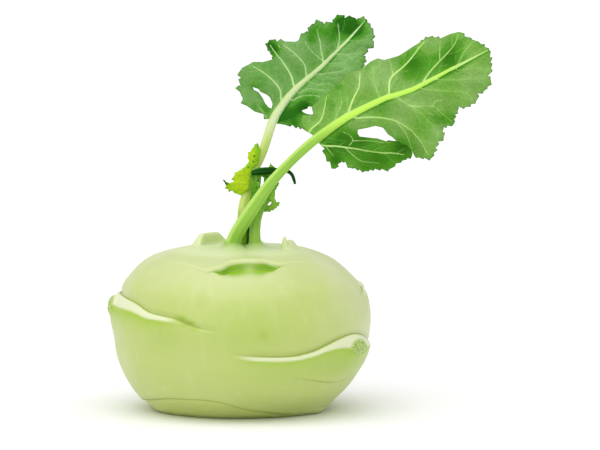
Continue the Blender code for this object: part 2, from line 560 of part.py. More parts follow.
def blade_mesh(name, outline, holes, ribs, place, step):
    """A flat leaf outline split into triangles and bent into place; returns its rib points too."""
    points = [Vector(p) for p in outline]
    edges = [(k, (k + 1) % len(outline)) for k in range(len(outline))]
    for ring in holes:
        start = len(points)
        points += [Vector(p) for p in ring]
        edges += [(start + k, start + (k + 1) % len(ring)) for k in range(len(ring))]
    borders = list(points)
    raised = set()
    for rib in ribs:
        line = [Vector(p[:2]) for p in smooth_through(rib, 2.6)]
        line = [p for p in line if inside(p, outline) and not any(inside(p, ring) for ring in holes)]
        line = [p for p in line if min((p - q).length for q in borders) > 0.7]
        start = len(points)
        points += line
        raised.update(range(start, len(points)))
        edges += [(k, k + 1) for k in range(start, len(points) - 1)]
        for before, after in zip(line, line[1:]):
            across = Vector((before.y - after.y, after.x - before.x)).normalized() * 1.1
            points += [(before + after) / 2 + across, (before + after) / 2 - across]
    taken = list(points)
    low = [min(p[k] for p in outline) for k in (0, 1)]
    high = [max(p[k] for p in outline) for k in (0, 1)]
    row = 0
    y = low[1]
    while y < high[1]:
        x = low[0] + (row % 2) * step / 2
        while x < high[0]:
            if min((Vector((x, y)) - q).length for q in taken) > 0.55 * step:
                points.append(Vector((x, y)))
            x += step
        y += 0.866 * step
        row += 1
    flat = delaunay_2d_cdt(points, edges, [], 0, 1e-5)
    spots, triangles, sources = flat[0], flat[2], flat[3]
    faces = []
    for triangle in triangles:
        middle = sum((spots[k] for k in triangle), Vector((0, 0))) / 3
        if inside(middle, outline) and not any(inside(middle, ring) for ring in holes):
            faces.append(tuple(triangle))
    used = sorted({k for face in faces for k in face})
    number = {old: new for new, old in enumerate(used)}
    mesh = bpy.data.meshes.new(name)
    mesh.from_pydata([tuple(np.array(place(*spots[k])) * MM) for k in used], [],
                     [tuple(number[k] for k in face) for face in faces])
    return mesh, [number[k] for k in used if raised & set(sources[k])]


def make_blade(name, outline, holes, ribs, place, skin, viewer_side, step=BLADE_STEP):
    """A leaf blade: the bent sheet thickened both ways, and more on the ribs' side over the ribs."""
    mesh, rib_points = blade_mesh(name, outline, holes, ribs, place, step)
    turn_to_viewer(mesh)
    mesh.shade_smooth()
    blade = new_object(name, mesh, skin)
    sheet = blade.modifiers.new("sheet", "SOLIDIFY")
    sheet.thickness = BLADE_THICKNESS * MM
    sheet.offset = 0.0
    if ribs:
        ribbing = blade.vertex_groups.new(name="ribs")
        ribbing.add(rib_points, 1.0, "REPLACE")
        sheet.vertex_group = ribbing.name
        sheet.thickness = (BLADE_THICKNESS + RIB_RISE) * MM
        sheet.thickness_vertex_group = BLADE_THICKNESS / (BLADE_THICKNESS + RIB_RISE)
        sheet.offset = viewer_side
    return blade


def turn_to_viewer(mesh):
    """Turn the sheet's faces to the viewer, which is the side that offset 1 thickens."""
    work = bmesh.new()
    work.from_mesh(mesh)
    bmesh.ops.recalc_face_normals(work, faces=work.faces)
    if sum(face.normal.y * face.calc_area() for face in work.faces) > 0:
        bmesh.ops.reverse_faces(work, faces=work.faces)
    work.to_mesh(mesh)
    work.free()


def on_front_leaf(along, across):
    tuck = tucked(along, across)
    back = front_bend(along, across) + LOBE_TUCK * tuck
    along = along + 0.35 * tuck
    across = across + 0.35 * tuck
    return leaf_place(FRONT_LEAF_ORIGIN, FRONT_LEAF_ANGLE, FRONT_LEAF_SIZE, along, across, back)


def on_back_leaf(along, across):
    back = back_bend(along, across)
    return leaf_place(BACK_LEAF_ORIGIN, BACK_LEAF_ANGLE, BACK_LEAF_SIZE, along, across, back)


def make_front_leaf(stalk_skin, blade_skin):
    """The leaf that leans across the front: its underside, with the raised ribs, faces the viewer."""
    midrib = [(*on_front_leaf(along, across), radius) for along, across, radius in FRONT_MIDRIB]
    make_stalk("front_leaf_stalk", FRONT_STALK + midrib, stalk_skin)
    rng = random.Random(3)
    outline = toothed(FRONT_MARGIN, FRONT_ROLLED, rng) + FRONT_SINUS + toothed(FRONT_LOBE, [], rng)
    outline += slot_along(FRONT_MIDRIB, 0.6, 61.0)
    make_blade("front_leaf_blade", outline, [], FRONT_RIBS, on_front_leaf, blade_skin, 1.0)


def make_back_leaf(stalk_skin, blade_skin, wing_skin):
    """The leaf behind: its upper side faces the viewer, and small lime leaflets sit low on its stalk."""
    midrib = [(*on_back_leaf(along, across), radius) for along, across, radius in BACK_MIDRIB]
    make_stalk("back_leaf_stalk", BACK_STALK + midrib, stalk_skin)
    rng = random.Random(8)
    outline = toothed(BACK_MARGIN, BACK_ROLLED, rng) + BACK_SINUS + toothed(BACK_LOBE, [], rng)
    outline += slot_along(BACK_MIDRIB, 1.6, 42.6)
    make_blade("back_leaf_blade", outline, [BACK_HOLE], BACK_RIBS, on_back_leaf, blade_skin, -1.0)
    make_blade("back_leaf_wing", WING_OUTLINE, [], [],
               lambda x, z: (x, wing_bend(x, z), z), wing_skin, 0.0, 2.2)


def make_young_leaf(skin, rolled_skin):
    """The young leaf: a short stalk and a curled blade grown as one, and a leaflet rolled up tight."""
    blade = make_blade("young_blade", YOUNG_OUTLINE, YOUNG_HOLES, [],
                       lambda x, z: (x, young_bend(x, z), z), skin, 0.0, 2.2)
    leaf = make_stalk("young_leaf", YOUNG_STALK, skin)
    join = leaf.modifiers.new("join", "BOOLEAN")
    join.operation = "UNION"
    join.object = blade
    leaf.data = bpy.data.meshes.new_from_object(leaf.evaluated_get(bpy.context.evaluated_depsgraph_get()))
    leaf.modifiers.clear()
    bpy.data.objects.remove(blade, do_unlink=True)
    make_stalk("rolled_leaflet", ROLLED_LEAFLET, rolled_skin, sides=10, spacing=1.6)


def main():
    clear_scene()
    make_bulb(material("bulb_skin", (0.55, 0.68, 0.24), 0.45))
    stalk_skin = material("stalk_skin", (0.40, 0.66, 0.13), 0.4)
    pale_stalk_skin = material("pale_stalk_skin", (0.62, 0.78, 0.30), 0.4)
    blade_skin = material("blade_skin", (0.15, 0.40, 0.07), 0.5)
    make_front_leaf(stalk_skin, blade_skin)
    make_back_leaf(pale_stalk_skin, blade_skin, material("lime_skin", (0.42, 0.64, 0.03), 0.5))
    make_young_leaf(material("young_skin", (0.12, 0.38, 0.02), 0.45),
                    material("rolled_skin", (0.02, 0.13, 0.015), 0.4))


main()
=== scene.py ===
# %% [markdown]
# # A kohlrabi with its leaves
# This lesson dresses the solids of a kohlrabi: a swollen green stem with the scars of its cut
# leaves, two toothed leaves on long stalks, and the young leaves between them. The solids hold
# the size and the place of each part, and each cell below makes a finer piece in their place.

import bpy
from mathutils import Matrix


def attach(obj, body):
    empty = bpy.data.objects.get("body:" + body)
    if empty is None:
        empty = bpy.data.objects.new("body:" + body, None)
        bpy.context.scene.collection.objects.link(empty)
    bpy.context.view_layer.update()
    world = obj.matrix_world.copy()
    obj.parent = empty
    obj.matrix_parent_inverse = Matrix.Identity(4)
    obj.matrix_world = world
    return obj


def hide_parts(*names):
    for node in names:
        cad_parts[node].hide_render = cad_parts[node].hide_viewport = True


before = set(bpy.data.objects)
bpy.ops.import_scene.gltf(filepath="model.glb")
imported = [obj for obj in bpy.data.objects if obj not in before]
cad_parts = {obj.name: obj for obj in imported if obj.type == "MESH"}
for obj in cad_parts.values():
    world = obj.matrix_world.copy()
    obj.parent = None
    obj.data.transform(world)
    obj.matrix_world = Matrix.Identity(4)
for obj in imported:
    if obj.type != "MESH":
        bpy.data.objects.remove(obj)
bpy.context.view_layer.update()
print("solids:", sorted(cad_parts))

# %% Tools and units
import math
import random
from collections import namedtuple

import bpy
import numpy as np
from mathutils import Vector
from mathutils.geometry import delaunay_2d_cdt

MM = 0.001  # sizes are in millimetres until a mesh is made


def add_object(name, data):
    made = bpy.data.objects.new(name, data)
    bpy.context.collection.objects.link(made)
    return made


# %% [markdown]
# ## The camera and the light
# A vegetable on a white table is photographed from far off with a long lens, nearly level, so
# it shows no strong perspective. The light is a bright white room and one soft sun from the
# upper left: the room fills the shadows, and the sun gives the stalks a light and a dark side.

# %% Camera
AIM = Vector((0.0215, 0.0, 0.0680))
CAMERA_DISTANCE = 2.0
CAMERA_RISE = math.radians(6)
PICTURE_WIDTH = 600 * 0.3668 * MM  # 600 pixels of 0.3668 mm each

camera = add_object("camera", bpy.data.cameras.new("camera"))
camera.data.sensor_width = 36
camera.data.lens = camera.data.sensor_width * CAMERA_DISTANCE / PICTURE_WIDTH
camera.data.clip_end = 50
toward_camera = Vector((0, -math.cos(CAMERA_RISE), math.sin(CAMERA_RISE)))
camera.location = AIM + CAMERA_DISTANCE * toward_camera
camera.rotation_euler = (math.radians(90) - CAMERA_RISE, 0, 0)
bpy.context.scene.camera = camera
print("lens, mm:", round(camera.data.lens))

# %% Light
ROOM_LIGHT = 0.68
SUN_STRENGTH = 1.7
SUN_HEADING = Vector((0.16, 0.40, -1.0))

world = bpy.data.worlds.new("white_room")
world.use_nodes = True
world.node_tree.nodes["Background"].inputs["Color"].default_value = (1, 1, 1, 1)
world.node_tree.nodes["Background"].inputs["Strength"].default_value = ROOM_LIGHT
bpy.context.scene.world = world
sun = add_object("sun", bpy.data.lights.new("sun", "SUN"))
sun.data.energy = SUN_STRENGTH
sun.data.angle = math.radians(80)
sun.rotation_euler = SUN_HEADING.to_track_quat("-Z", "Y").to_euler()
bpy.context.scene.view_settings.view_transform = "Standard"

# %% [markdown]
# ## Small helpers for materials
# A material is a graph of nodes. One helper adds a node and either sets or links its inputs, and
# another lays colours over each other, so that a material below reads as a list of its layers.


# %% Node helpers
def add_node(tree, kind, inputs=(), **settings):
    """Adds a node; each input is a value to set or a socket to link."""
    node = tree.nodes.new(kind)
    for name, value in settings.items():
        setattr(node, name, value)
    for name, value in dict(inputs).items():
        if isinstance(value, bpy.types.NodeSocket):
            tree.links.new(value, node.inputs[name])
        else:
            node.inputs[name].default_value = value
    return node


def math_node(tree, operation, first, second=0.0):
    return add_node(tree, "ShaderNodeMath", {0: first, 1: second}, operation=operation).outputs[0]


def times(tree, first, second):
    return math_node(tree, "MULTIPLY", first, second)


def vector_node(tree, operation, first, second):
    return add_node(tree, "ShaderNodeVectorMath", {0: first, 1: second}, operation=operation)


def fade(tree, value, low, high):
    """0 where value is at low and 1 where it is at high, with a smooth step between."""
    inputs = {"Value": value, "From Min": low, "From Max": high}
    return add_node(tree, "ShaderNodeMapRange", inputs, interpolation_type="SMOOTHSTEP").outputs[0]


def noise(tree, place, scale, detail=2.0, roughness=0.5):
    inputs = {"Vector": place, "Scale": scale, "Detail": detail, "Roughness": roughness}
    return add_node(tree, "ShaderNodeTexNoise", inputs).outputs["Fac"]


def attribute(tree, name):
    return add_node(tree, "ShaderNodeAttribute", attribute_name=name).outputs["Fac"]


def object_place(tree):
    return add_node(tree, "ShaderNodeTexCoord").outputs["Object"]


def four_values(colour):
    """A colour of three values with its alpha; a socket stays as it is."""
    return colour if isinstance(colour, bpy.types.NodeSocket) else (*colour, 1)


def mix_colour(tree, factor, first, second):
    inputs = {0: factor, 6: four_values(first), 7: four_values(second)}
    return add_node(tree, "ShaderNodeMix", inputs, data_type="RGBA").outputs[2]


def layered(tree, colour, layers):
    """Lays (mask, strength, colour) over a first colour, one after another. A mask is a socket,
    or the name of an attribute of the mesh."""
    for mask, strength, layer in layers:
        mask = attribute(tree, mask) if isinstance(mask, str) else mask
        colour = mix_colour(tree, times(tree, mask, strength), colour, layer)
    return colour


def new_material(name, **constants):
    """A material with its Principled surface; the constants are set on its own sockets."""
    material = bpy.data.materials.new(name)
    material.use_nodes = True
    surface = material.node_tree.nodes["Principled BSDF"]
    for socket, value in constants.items():
        surface.inputs[socket.replace("_", " ")].default_value = value
    return material, material.node_tree, surface


def dress(tree, surface, colour, height, strength, depth):
    """Links a skin's colour and its fine bump to its surface."""
    bump = {"Height": height, "Strength": strength, "Distance": depth}
    bump = add_node(tree, "ShaderNodeBump", bump)
    tree.links.new(colour, surface.inputs["Base Color"])
    tree.links.new(bump.outputs[0], surface.inputs["Normal"])


def vary_roughness(tree, surface, value, low, high):
    rough = add_node(tree, "ShaderNodeMapRange", {"Value": value, "To Min": low, "To Max": high})
    tree.links.new(rough.outputs[0], surface.inputs["Roughness"])


# %% [markdown]
# ## Two effects that several skins share
# Living skin is never one flat colour: it has cloudy patches and a fine grain of cells. Leaves
# also carry a net of veins too small to model. Each is built once as a shader node group, and
# each material places it with its own values.


# %% Node groups: cloudy skin, and a net of small veins
def new_group(name, kind, inputs, outputs):
    """A node group. Its inputs are (name, kind of socket, value), and its outputs leave out the
    value. Returns it with the sockets that it is given and those that it hands on."""
    group = bpy.data.node_groups.new(name, kind)
    for socket, socket_kind, value in inputs:
        item = group.interface.new_socket(
            socket, in_out="INPUT", socket_type="NodeSocket" + socket_kind)
        if value is not None:
            item.default_value = value
    for socket, socket_kind in outputs:
        group.interface.new_socket(
            socket, in_out="OUTPUT", socket_type="NodeSocket" + socket_kind)
    given = group.nodes.new("NodeGroupInput").outputs
    return group, given, group.nodes.new("NodeGroupOutput").inputs


cloudy, given, result = new_group(
    "cloudy_skin", "ShaderNodeTree",
    [("Place", "Vector", None), ("Cloud Scale", "Float", 60.0), ("Cell Scale", "Float", 1500.0)],
    [("Cloud", "Float"), ("Cells", "Float")])
clouds = noise(cloudy, given["Place"], given["Cloud Scale"], detail=3.0)
cells = noise(cloudy, given["Place"], given["Cell Scale"], roughness=0.6)
cloudy.links.new(fade(cloudy, clouds, 0.3, 0.7), result["Cloud"])
cloudy.links.new(cells, result["Cells"])

vein_net, given, result = new_group(
    "vein_net", "ShaderNodeTree",
    [("Place", "Vector", None), ("Mesh Scale", "Float", 30.0), ("Width", "Float", 0.06)],
    [("Veins", "Float"), ("Pillows", "Float")])
wobble = add_node(vein_net, "ShaderNodeTexNoise", {
    "Vector": given["Place"], "Scale": given["Mesh Scale"], "Detail": 2.0})
shifted = add_node(vein_net, "ShaderNodeVectorMath", {
    0: wobble.outputs["Color"], "Scale": 0.012}, operation="SCALE")
moved = vector_node(vein_net, "ADD", given["Place"], shifted.outputs[0]).outputs[0]


def cell_edges(scale):
    """The distance to the nearest edge between cells of this scale."""
    return add_node(vein_net, "ShaderNodeTexVoronoi", {"Vector": moved, "Scale": scale},
                    feature="DISTANCE_TO_EDGE").outputs["Distance"]


wide = cell_edges(given["Mesh Scale"])
narrow = cell_edges(times(vein_net, given["Mesh Scale"], 2.7))
thick_vein = fade(vein_net, wide, given["Width"], 0.0)
thin_vein = times(vein_net, fade(vein_net, narrow, given["Width"], 0.0), 0.45)
vein_net.links.new(math_node(vein_net, "MAXIMUM", thick_vein, thin_vein), result["Veins"])
vein_net.links.new(fade(vein_net, wide, 0.0, 0.35), result["Pillows"])


def place_group(tree, group, **values):
    inputs = {name.replace("_", " "): value for name, value in values.items()}
    return add_node(tree, "ShaderNodeGroup", inputs, node_tree=group).outputs


print("node groups:", cloudy.name, vein_net.name)

# %% [markdown]
# ## The bulb's shape
# The bulb is a stem that has swollen to a squat ball, so its side is one smooth profile turned
# round. What makes it a kohlrabi is its scars: where a leaf was cut off, a ledge is left that
# runs round the bulb, thick at the cut stub and fading to both sides. A formula gives each
# ledge its rim, its crease and its stub, and the same formula gives the masks for its colour.

# %% The bulb's measures
CROWN_HEIGHT = 60.0
BASE_FRONT_FLAT = 4.0
BASE_FLAT_HEIGHT = 16.0
BASE_ROUNDING = 1.3
BASE_ROUNDING_HEIGHT = 2.4
BASE_LEAN = -0.7
LEFT_SHOULDER = 0.8
BULB_PROFILE = [
    (31.5, 0.0), (35.3, 4.0), (39.8, 8.5), (43.6, 14.2), (46.3, 20.7), (47.5, 29.0),
    (47.2, 36.0), (44.0, 45.0), (40.5, 49.5), (34.5, 54.8), (27.0, 58.3), (19.0, 59.7),
    (12.0, CROWN_HEIGHT), (0.0, CROWN_HEIGHT),
]
# A band is how wide a scar's rim is: at its ends, at its widest, and where and over how many
# degrees that is.
NARROW_BAND = (1.1, 3.2, 0.0, 38.0)
FOLD_BAND = (0.5, 1.0, 0.0, 38.0)
# A scar lies at an azimuth, along a line of (degrees off that, millimetres up the side). Its rim
# stands out by rise below the line, or above it where facing is -1, and is gone within fade. Its
# crease is sunk by hollow, and its stub stands out by stub.
Scar = namedtuple(
    "Scar", "centre line rise fade hollow facing hollow_width stub stub_half band rim_ends",
    defaults=(1, 1.6, 0.0, 1, FOLD_BAND, (0, 0)))
LEDGES = [
    Scar(-84, [(-62, 43), (-35, 46.5), (-10, 49), (6, 49), (14, 48.7), (24, 48), (30.5, 46.9),
               (35.5, 45.7), (39, 45.1), (43, 44.7), (49.5, 44.1), (54.5, 43.6), (60, 42.2),
               (65.5, 40.9), (70.5, 40.1), (80, 39)],
         rise=2.0, fade=13, hollow=0.5, stub=1.3, stub_half=8, band=(1.0, 4.8, 4.0, 36.0),
         rim_ends=(-60, 57)),
    Scar(62, [(-68, 31.8), (-62, 31.4), (-57, 30.9), (-45, 30.5), (-37, 30.7), (-28, 32),
              (-22, 33.5), (-14, 35.2), (-8, 36), (-2, 36.1), (5.5, 35), (14.5, 32.6),
              (23.5, 30.6), (34, 29)],
         rise=1.9, fade=13, hollow=0.5, stub=0.7, stub_half=10, band=(1.4, 5.4, -2.0, 14.0),
         rim_ends=(-66, 20)),
    Scar(112, [(-40, 48.5), (-15, 51), (0, 52.3), (20, 51.5), (45, 49)],
         rise=1.4, fade=12, hollow=0.4, stub=1.2, stub_half=8, band=NARROW_BAND,
         rim_ends=(-30, 30)),
    Scar(176, [(-55, 38), (-25, 40), (0, 42), (25, 41), (50, 38)],
         rise=2.0, fade=13, hollow=0.4, stub=2.6, stub_half=9, band=NARROW_BAND,
         rim_ends=(-40, 40)),
    Scar(-142, [(-50, 20), (-20, 20.5), (0, 22.5), (22, 21), (45, 18)],
         rise=1.8, fade=12, hollow=0.4, stub=2.0, stub_half=9, band=NARROW_BAND,
         rim_ends=(-40, 36)),
]
BROW = Scar(2, [(-58, 66), (-48, 67), (-36, 65.8), (-28, 64.2), (-23, 63.4), (-18, 64.6),
                (-13.5, 65.8), (-9.5, 68.2), (-6, 69.2), (-1, 69.8), (3, 69.9), (8.5, 69.6),
                (13, 69.7), (16, 69.2), (18, 68.2), (21, 67.5), (23.5, 67.2), (32, 67.4),
                (43, 67.6), (53, 66), (62, 64)],
            rise=1.0, fade=7, hollow=2.4, facing=-1, hollow_width=9.4)
FOLDS = [
    Scar(-20, [(-100, 5.5), (-76, 5.6), (-60, 6.2), (-41, 7.9), (-28.5, 9.7), (-18, 10.8),
               (-8, 11.3), (2, 11.5), (7, 11.2), (11.5, 10.3), (15.5, 9.1), (21, 7.4),
               (27, 5.9), (34.5, 4.6), (48.5, 2.4), (64, 1)],
         rise=1.1, fade=7, hollow=0.6, facing=-1),
    Scar(66, [(-14, 4.5), (0, 4.0), (14, 4.5)], rise=1.4, fade=4, hollow=0.2, hollow_width=1.0,
         band=NARROW_BAND),
    Scar(52, [(-30, 22.4), (-25, 22), (-16.5, 20.4), (-6, 18.5), (5.5, 17.9), (17.5, 18),
              (28, 19)],
         rise=0.5, fade=6, hollow=0.2, facing=-1, hollow_width=1.2),
    Scar(-168, [(-45, 68), (-20, 67), (0, 70.5), (20, 67), (45, 66)],
         rise=0.9, fade=8, hollow=1.2, facing=-1, hollow_width=9, band=NARROW_BAND),
]
SCAR_END_SOFTNESS = 20.0
CREASE_REACH = 2.5  # how far from a crease its distance is kept
BROW_MIDDLE = 3.0
BROW_HALF = 23.0
STUB_DROP = 4.6
STUB_HALF_HEIGHT = 4.4
SCOOP_DIP = 0.25  # how much shallower the brow's hollow is in its middle
BROAD_LUMP, FINE_LUMP = 0.22, 0.05
# Low walls on the crown, by azimuth, half of the degrees that they span, and millimetres
CrownWall = namedtuple("CrownWall", "centre half radius thickness height")
CROWN_WALLS = [
    CrownWall(-132, 34, 15.8, 2.4, 4.2), CrownWall(82, 27, 17.2, 2.2, 2.8),
    CrownWall(168, 20, 14.5, 2.4, 1.6), CrownWall(63, 3.5, 17.4, 1.0, 3.4),
]
# Where the stalks grow out of the crown, as (x, y, radius, rise of the skin against the stalk)
STALK_FEET = [(-3.3, -8.2, 2.8, 2.6), (1.3, 0.6, 2.8, 1.0), (5.2, -6.2, 2.2, 2.6)]
FOOT_SPREAD = 1.4
# Greener patches of the skin, as (azimuth, run, degrees wide, run tall, strength). The three
# strong ones from -27.5 to -19.5 degrees are painted shade in the slit at the end of the left
# ledge.
BLUSHES_AND_SLIT_SHADE = [
    (4, 41, 26, 13, 0.35), (10, 38.3, 4.2, 3.4, 0.6), (-18, 50.5, 4, 4, 0.35),
    (-27.5, 43.6, 3.4, 1.4, 1.0), (-23.5, 42.0, 3.6, 1.4, 1.0), (-19.5, 40.6, 3.0, 1.1, 0.8),
    (46, 26, 16, 4.5, 0.5), (-34, 38, 12, 7, 0.3), (18, 24, 30, 5, 0.25), (30, 52, 8, 4, 0.2),
]


# %% Curve and angle helpers
def smooth_through(points, spacing):
    """Rows about spacing apart on a smooth curve through the given rows."""
    rows = [np.array(p, float) for p in points]
    rows = [2 * rows[0] - rows[1], *rows, 2 * rows[-1] - rows[-2]]
    curve = []
    for before, start, end, after in zip(rows, rows[1:], rows[2:], rows[3:]):
        steps = max(1, round(float(np.linalg.norm((end - start)[:3])) / spacing))
        for k in range(steps):
            t = k / steps
            slope = (end - before) * t
            bend = (2 * before - 5 * start + 4 * end - after) * t ** 2
            twist = (3 * start - before - 3 * end + after) * t ** 3
            curve.append(start + 0.5 * (slope + bend + twist))
    curve.append(rows[-2])
    return np.array(curve)


def ease(value):
    """0 below 0, 1 above 1, and smooth between."""
    t = np.clip(value, 0.0, 1.0)
    return t * t * (3 - 2 * t)


def hump(value, width):
    """1 at 0, fading to nothing on both sides over about twice this width."""
    return np.exp(-(value / width) ** 2)


def turn_from(azimuth, centre):
    """Degrees from the centre azimuth, from -180 to 180."""
    return (azimuth - centre + 180.0) % 360.0 - 180.0


def soft_lumps(places, size, seed):
    """A gentle random height from -1 to 1 over places, with lumps about this size."""
    rng = np.random.default_rng(seed)
    total = np.zeros(len(places))
    for _ in range(9):
        way = rng.normal(size=3)
        way = way / np.linalg.norm(way) * rng.uniform(0.6, 1.5) * 2 * math.pi / size
        total += np.sin(places @ way + rng.uniform(0, 2 * math.pi))
    return total / 4.5


# %% One scar: how it moves the skin, and the masks for its colours
def scar_lines(scar, run, azimuth):
    """Where a place lies by a scar: degrees off its centre, the scar's strength there, the
    distance below its crease and the width of its rim."""
    off = turn_from(azimuth, scar.centre)
    angles, runs = smooth_through(scar.line, 1.0).T
    along = (ease((off - angles[0]) / SCAR_END_SOFTNESS)
             * ease((angles[-1] - off) / SCAR_END_SOFTNESS))
    below = (np.interp(off, angles, runs) - run) * scar.facing
    thin, thick, peak, spread = scar.band
    band = thin + (thick - thin) * along * hump(off - peak, spread)
    return off, along, below, band


def brow_scoop(off, below):
    """The hollow under the brow: how far down it a place is, as a share of its width there,
    and how open the hollow is at this angle."""
    inward = BROW_HALF - np.abs(off - BROW_MIDDLE)
    width = BROW.hollow_width * (0.1 + 0.9 * ease(inward / 16))
    return -below / width, ease(inward / 9)


def scar_relief(scar, run, azimuth):
    off, along, below, band = scar_lines(scar, run, azimuth)
    rim = np.interp(below / band, [0, 0.15, 0.6, 1.0, 1.3], [0, 0.35, 0.8, 1.0, 0.85])
    fading = 1 - ease((below - 1.2 * band) / scar.fade)
    height = scar.rise * along * (0.5 + 0.5 * hump(off, 32.0))
    if scar is BROW:
        depth, open_here = brow_scoop(off, below)
        sunk = np.interp(depth, [0, 0.12, 0.4, 0.75, 1.0], [0, 1.0, 0.72, 0.25, 0]) * open_here
        sunk = sunk * (1 - SCOOP_DIP * hump(off - 4, 4.0))
    else:
        sunk = np.interp(-below / scar.hollow_width, [0, 0.12, 0.5, 1.0], [0, 1.0, 0.8, 0]) * along
    across = off / scar.stub_half
    down = (below - STUB_DROP) / STUB_HALF_HEIGHT
    stub = np.clip(1.5 * (1 - across ** 2 - down ** 2), 0, 1)
    return height * rim * fading * (below > 0) - scar.hollow * sunk + scar.stub * stub


def crease_distance(scar, below, azimuth):
    """Distance from a scar's olive line of painted shade, scaled down where that line is wider:
    along the lip of the fold over the root, which hides its own crease, and where a ledge's crease
    opens into a slit near its end."""
    if scar is FOLDS[0]:
        return (below - 0.6) / 2.2
    if scar is LEDGES[0]:
        return below / (1 + 1.9 * hump(turn_from(azimuth, -24), 5))
    if scar is LEDGES[1]:
        return below / (1 + 1.2 * hump(turn_from(azimuth, 0), 3))
    return below


def scar_masks(run, azimuth):
    """The colour masks of all scars: crease distance and the strength of its painted shade, cream
    rim, green zone that is partly painted shade, cut.
    """
    masks = {name: np.zeros_like(run) for name in ("crease_shade_on", "cream", "green", "cut")}
    masks["crease_mm"] = np.full_like(run, CREASE_REACH)
    for scar in [*LEDGES, *FOLDS]:
        off, along, below, band = scar_lines(scar, run, azimuth)
        # Each crease is a thin olive line of painted shade, wider where it opens into a slit.
        drawn = crease_distance(scar, below, azimuth)
        near = (np.abs(drawn) < np.abs(masks["crease_mm"])) & (along > 0.02)
        masks["crease_mm"] = np.where(near, drawn, masks["crease_mm"])
        shown = along * ease(CREASE_REACH - np.abs(drawn))
        masks["crease_shade_on"] = np.where(near, shown, masks["crease_shade_on"])
        if scar in LEDGES:
            inner = ease(below / 0.6) * (1 - ease((below - 0.8 * band) / 0.8))
            start, end = scar.rim_ends
            strong = ease((off - start) / 12) * ease((end - off) / 9)
            masks["cream"] = np.maximum(masks["cream"], inner * strong)
            # Under each rim a strong green, partly the skin's own and partly painted shade of the
            # ledge.
            reach = 1.6 + 3.8 * hump(off - scar.band[2], 26.0)
            fading = np.exp(-np.clip(below - 1.3 * band, 0, 30) / reach)
            zone = ease((below - 0.85 * band) / 0.8) * fading
            masks["green"] = np.maximum(masks["green"], zone * strong)
            across = off / (scar.stub_half * 0.9)
            down = (below - STUB_DROP) / (STUB_HALF_HEIGHT * 0.75)
            masks["cut"] = np.maximum(masks["cut"], ease((1 - across ** 2 - down ** 2) / 0.5))
    return masks


# %% Places on the bulb's skin
def wall_parts(wall, radius, azimuth):
    """Along, inner and outer shares of a low wall that a cut leaf foot left on the crown."""
    off = turn_from(azimuth, wall.centre)
    along = ease((wall.half - np.abs(off)) / (0.65 * wall.half))
    inner = ease((radius - wall.radius + 0.9) / 0.9)
    outer = ease((wall.radius + 2 * wall.thickness - radius) / (1.4 * wall.thickness))
    return along, inner, outer


def swollen(height, turn):
    """How far the stem's uneven swelling and its left shoulder stand off the round profile."""
    middle = np.sin(math.pi * np.clip(height / CROWN_HEIGHT, 0, 1))
    waves = (0.5 * np.cos(turn - 1.3) + 0.4 * np.cos(2 * turn + 0.4)
             + 0.3 * np.cos(3 * turn - 1.0))
    shoulder = ease((height - 40) / 12) * (1 - ease((height - 55) / 4)) * LEFT_SHOULDER
    return middle * waves + shoulder * np.clip(-np.sin(turn), 0, 1)


def bulb_points(share, azimuth):
    """Places on the skin in millimetres, from arrays of shares of the way up and azimuths."""
    profile = smooth_through(BULB_PROFILE, 0.5)
    steps = np.linalg.norm(np.diff(profile, axis=0), axis=1)
    runs = np.concatenate([[0.0], np.cumsum(steps)])
    run = share * runs[-1]
    radius = np.interp(run, runs, profile[:, 0])
    height = np.interp(run, runs, profile[:, 1])
    slope = np.gradient(profile, axis=0)
    out_r = np.interp(run, runs, slope[:, 1])
    out_z = np.interp(run, runs, -slope[:, 0])
    size = np.hypot(out_r, out_z)
    turn = np.radians(azimuth)
    front = np.clip(np.cos(turn), 0, 1) ** 2
    radius = radius - BASE_FRONT_FLAT * front * (1 - ease(height / BASE_FLAT_HEIGHT))
    relief = sum(scar_relief(scar, run, azimuth) for scar in [*LEDGES, BROW, *FOLDS])
    places = np.stack([radius * np.sin(turn), -radius * np.cos(turn), height], axis=-1)
    lumps = (BROAD_LUMP * soft_lumps(places, size=24.0, seed=4)
             + FINE_LUMP * soft_lumps(places, size=7.0, seed=5))
    outward = (swollen(height, turn) + relief + lumps) * ease(radius / 14.0)
    rounding = BASE_ROUNDING * (1 - ease(height / BASE_ROUNDING_HEIGHT)) ** 2
    radius = radius + outward * out_r / size - rounding
    height = height + outward * out_z / size
    height = height + sum(wall.height * np.prod(wall_parts(wall, radius, azimuth), axis=0)
                          for wall in CROWN_WALLS)
    lean = BASE_LEAN * (1 - ease(height / 40.0))
    points = np.stack([radius * np.sin(turn) + lean, -radius * np.cos(turn), height], axis=-1)
    feet, lift = np.zeros_like(run), np.zeros_like(run)
    for x, y, foot, rise in STALK_FEET:
        gap = np.hypot(points[:, 0] - x, points[:, 1] - y) - foot
        near = np.exp(-np.clip(gap, 0, 30) / FOOT_SPREAD) * (height > 0.5 * CROWN_HEIGHT)
        feet, lift = np.maximum(feet, near), np.maximum(lift, rise * near)
    points[:, 2] = np.maximum(points[:, 2], 0.0) + lift
    return points, {**skin_masks(run, azimuth, radius), "foot": feet ** 0.7}


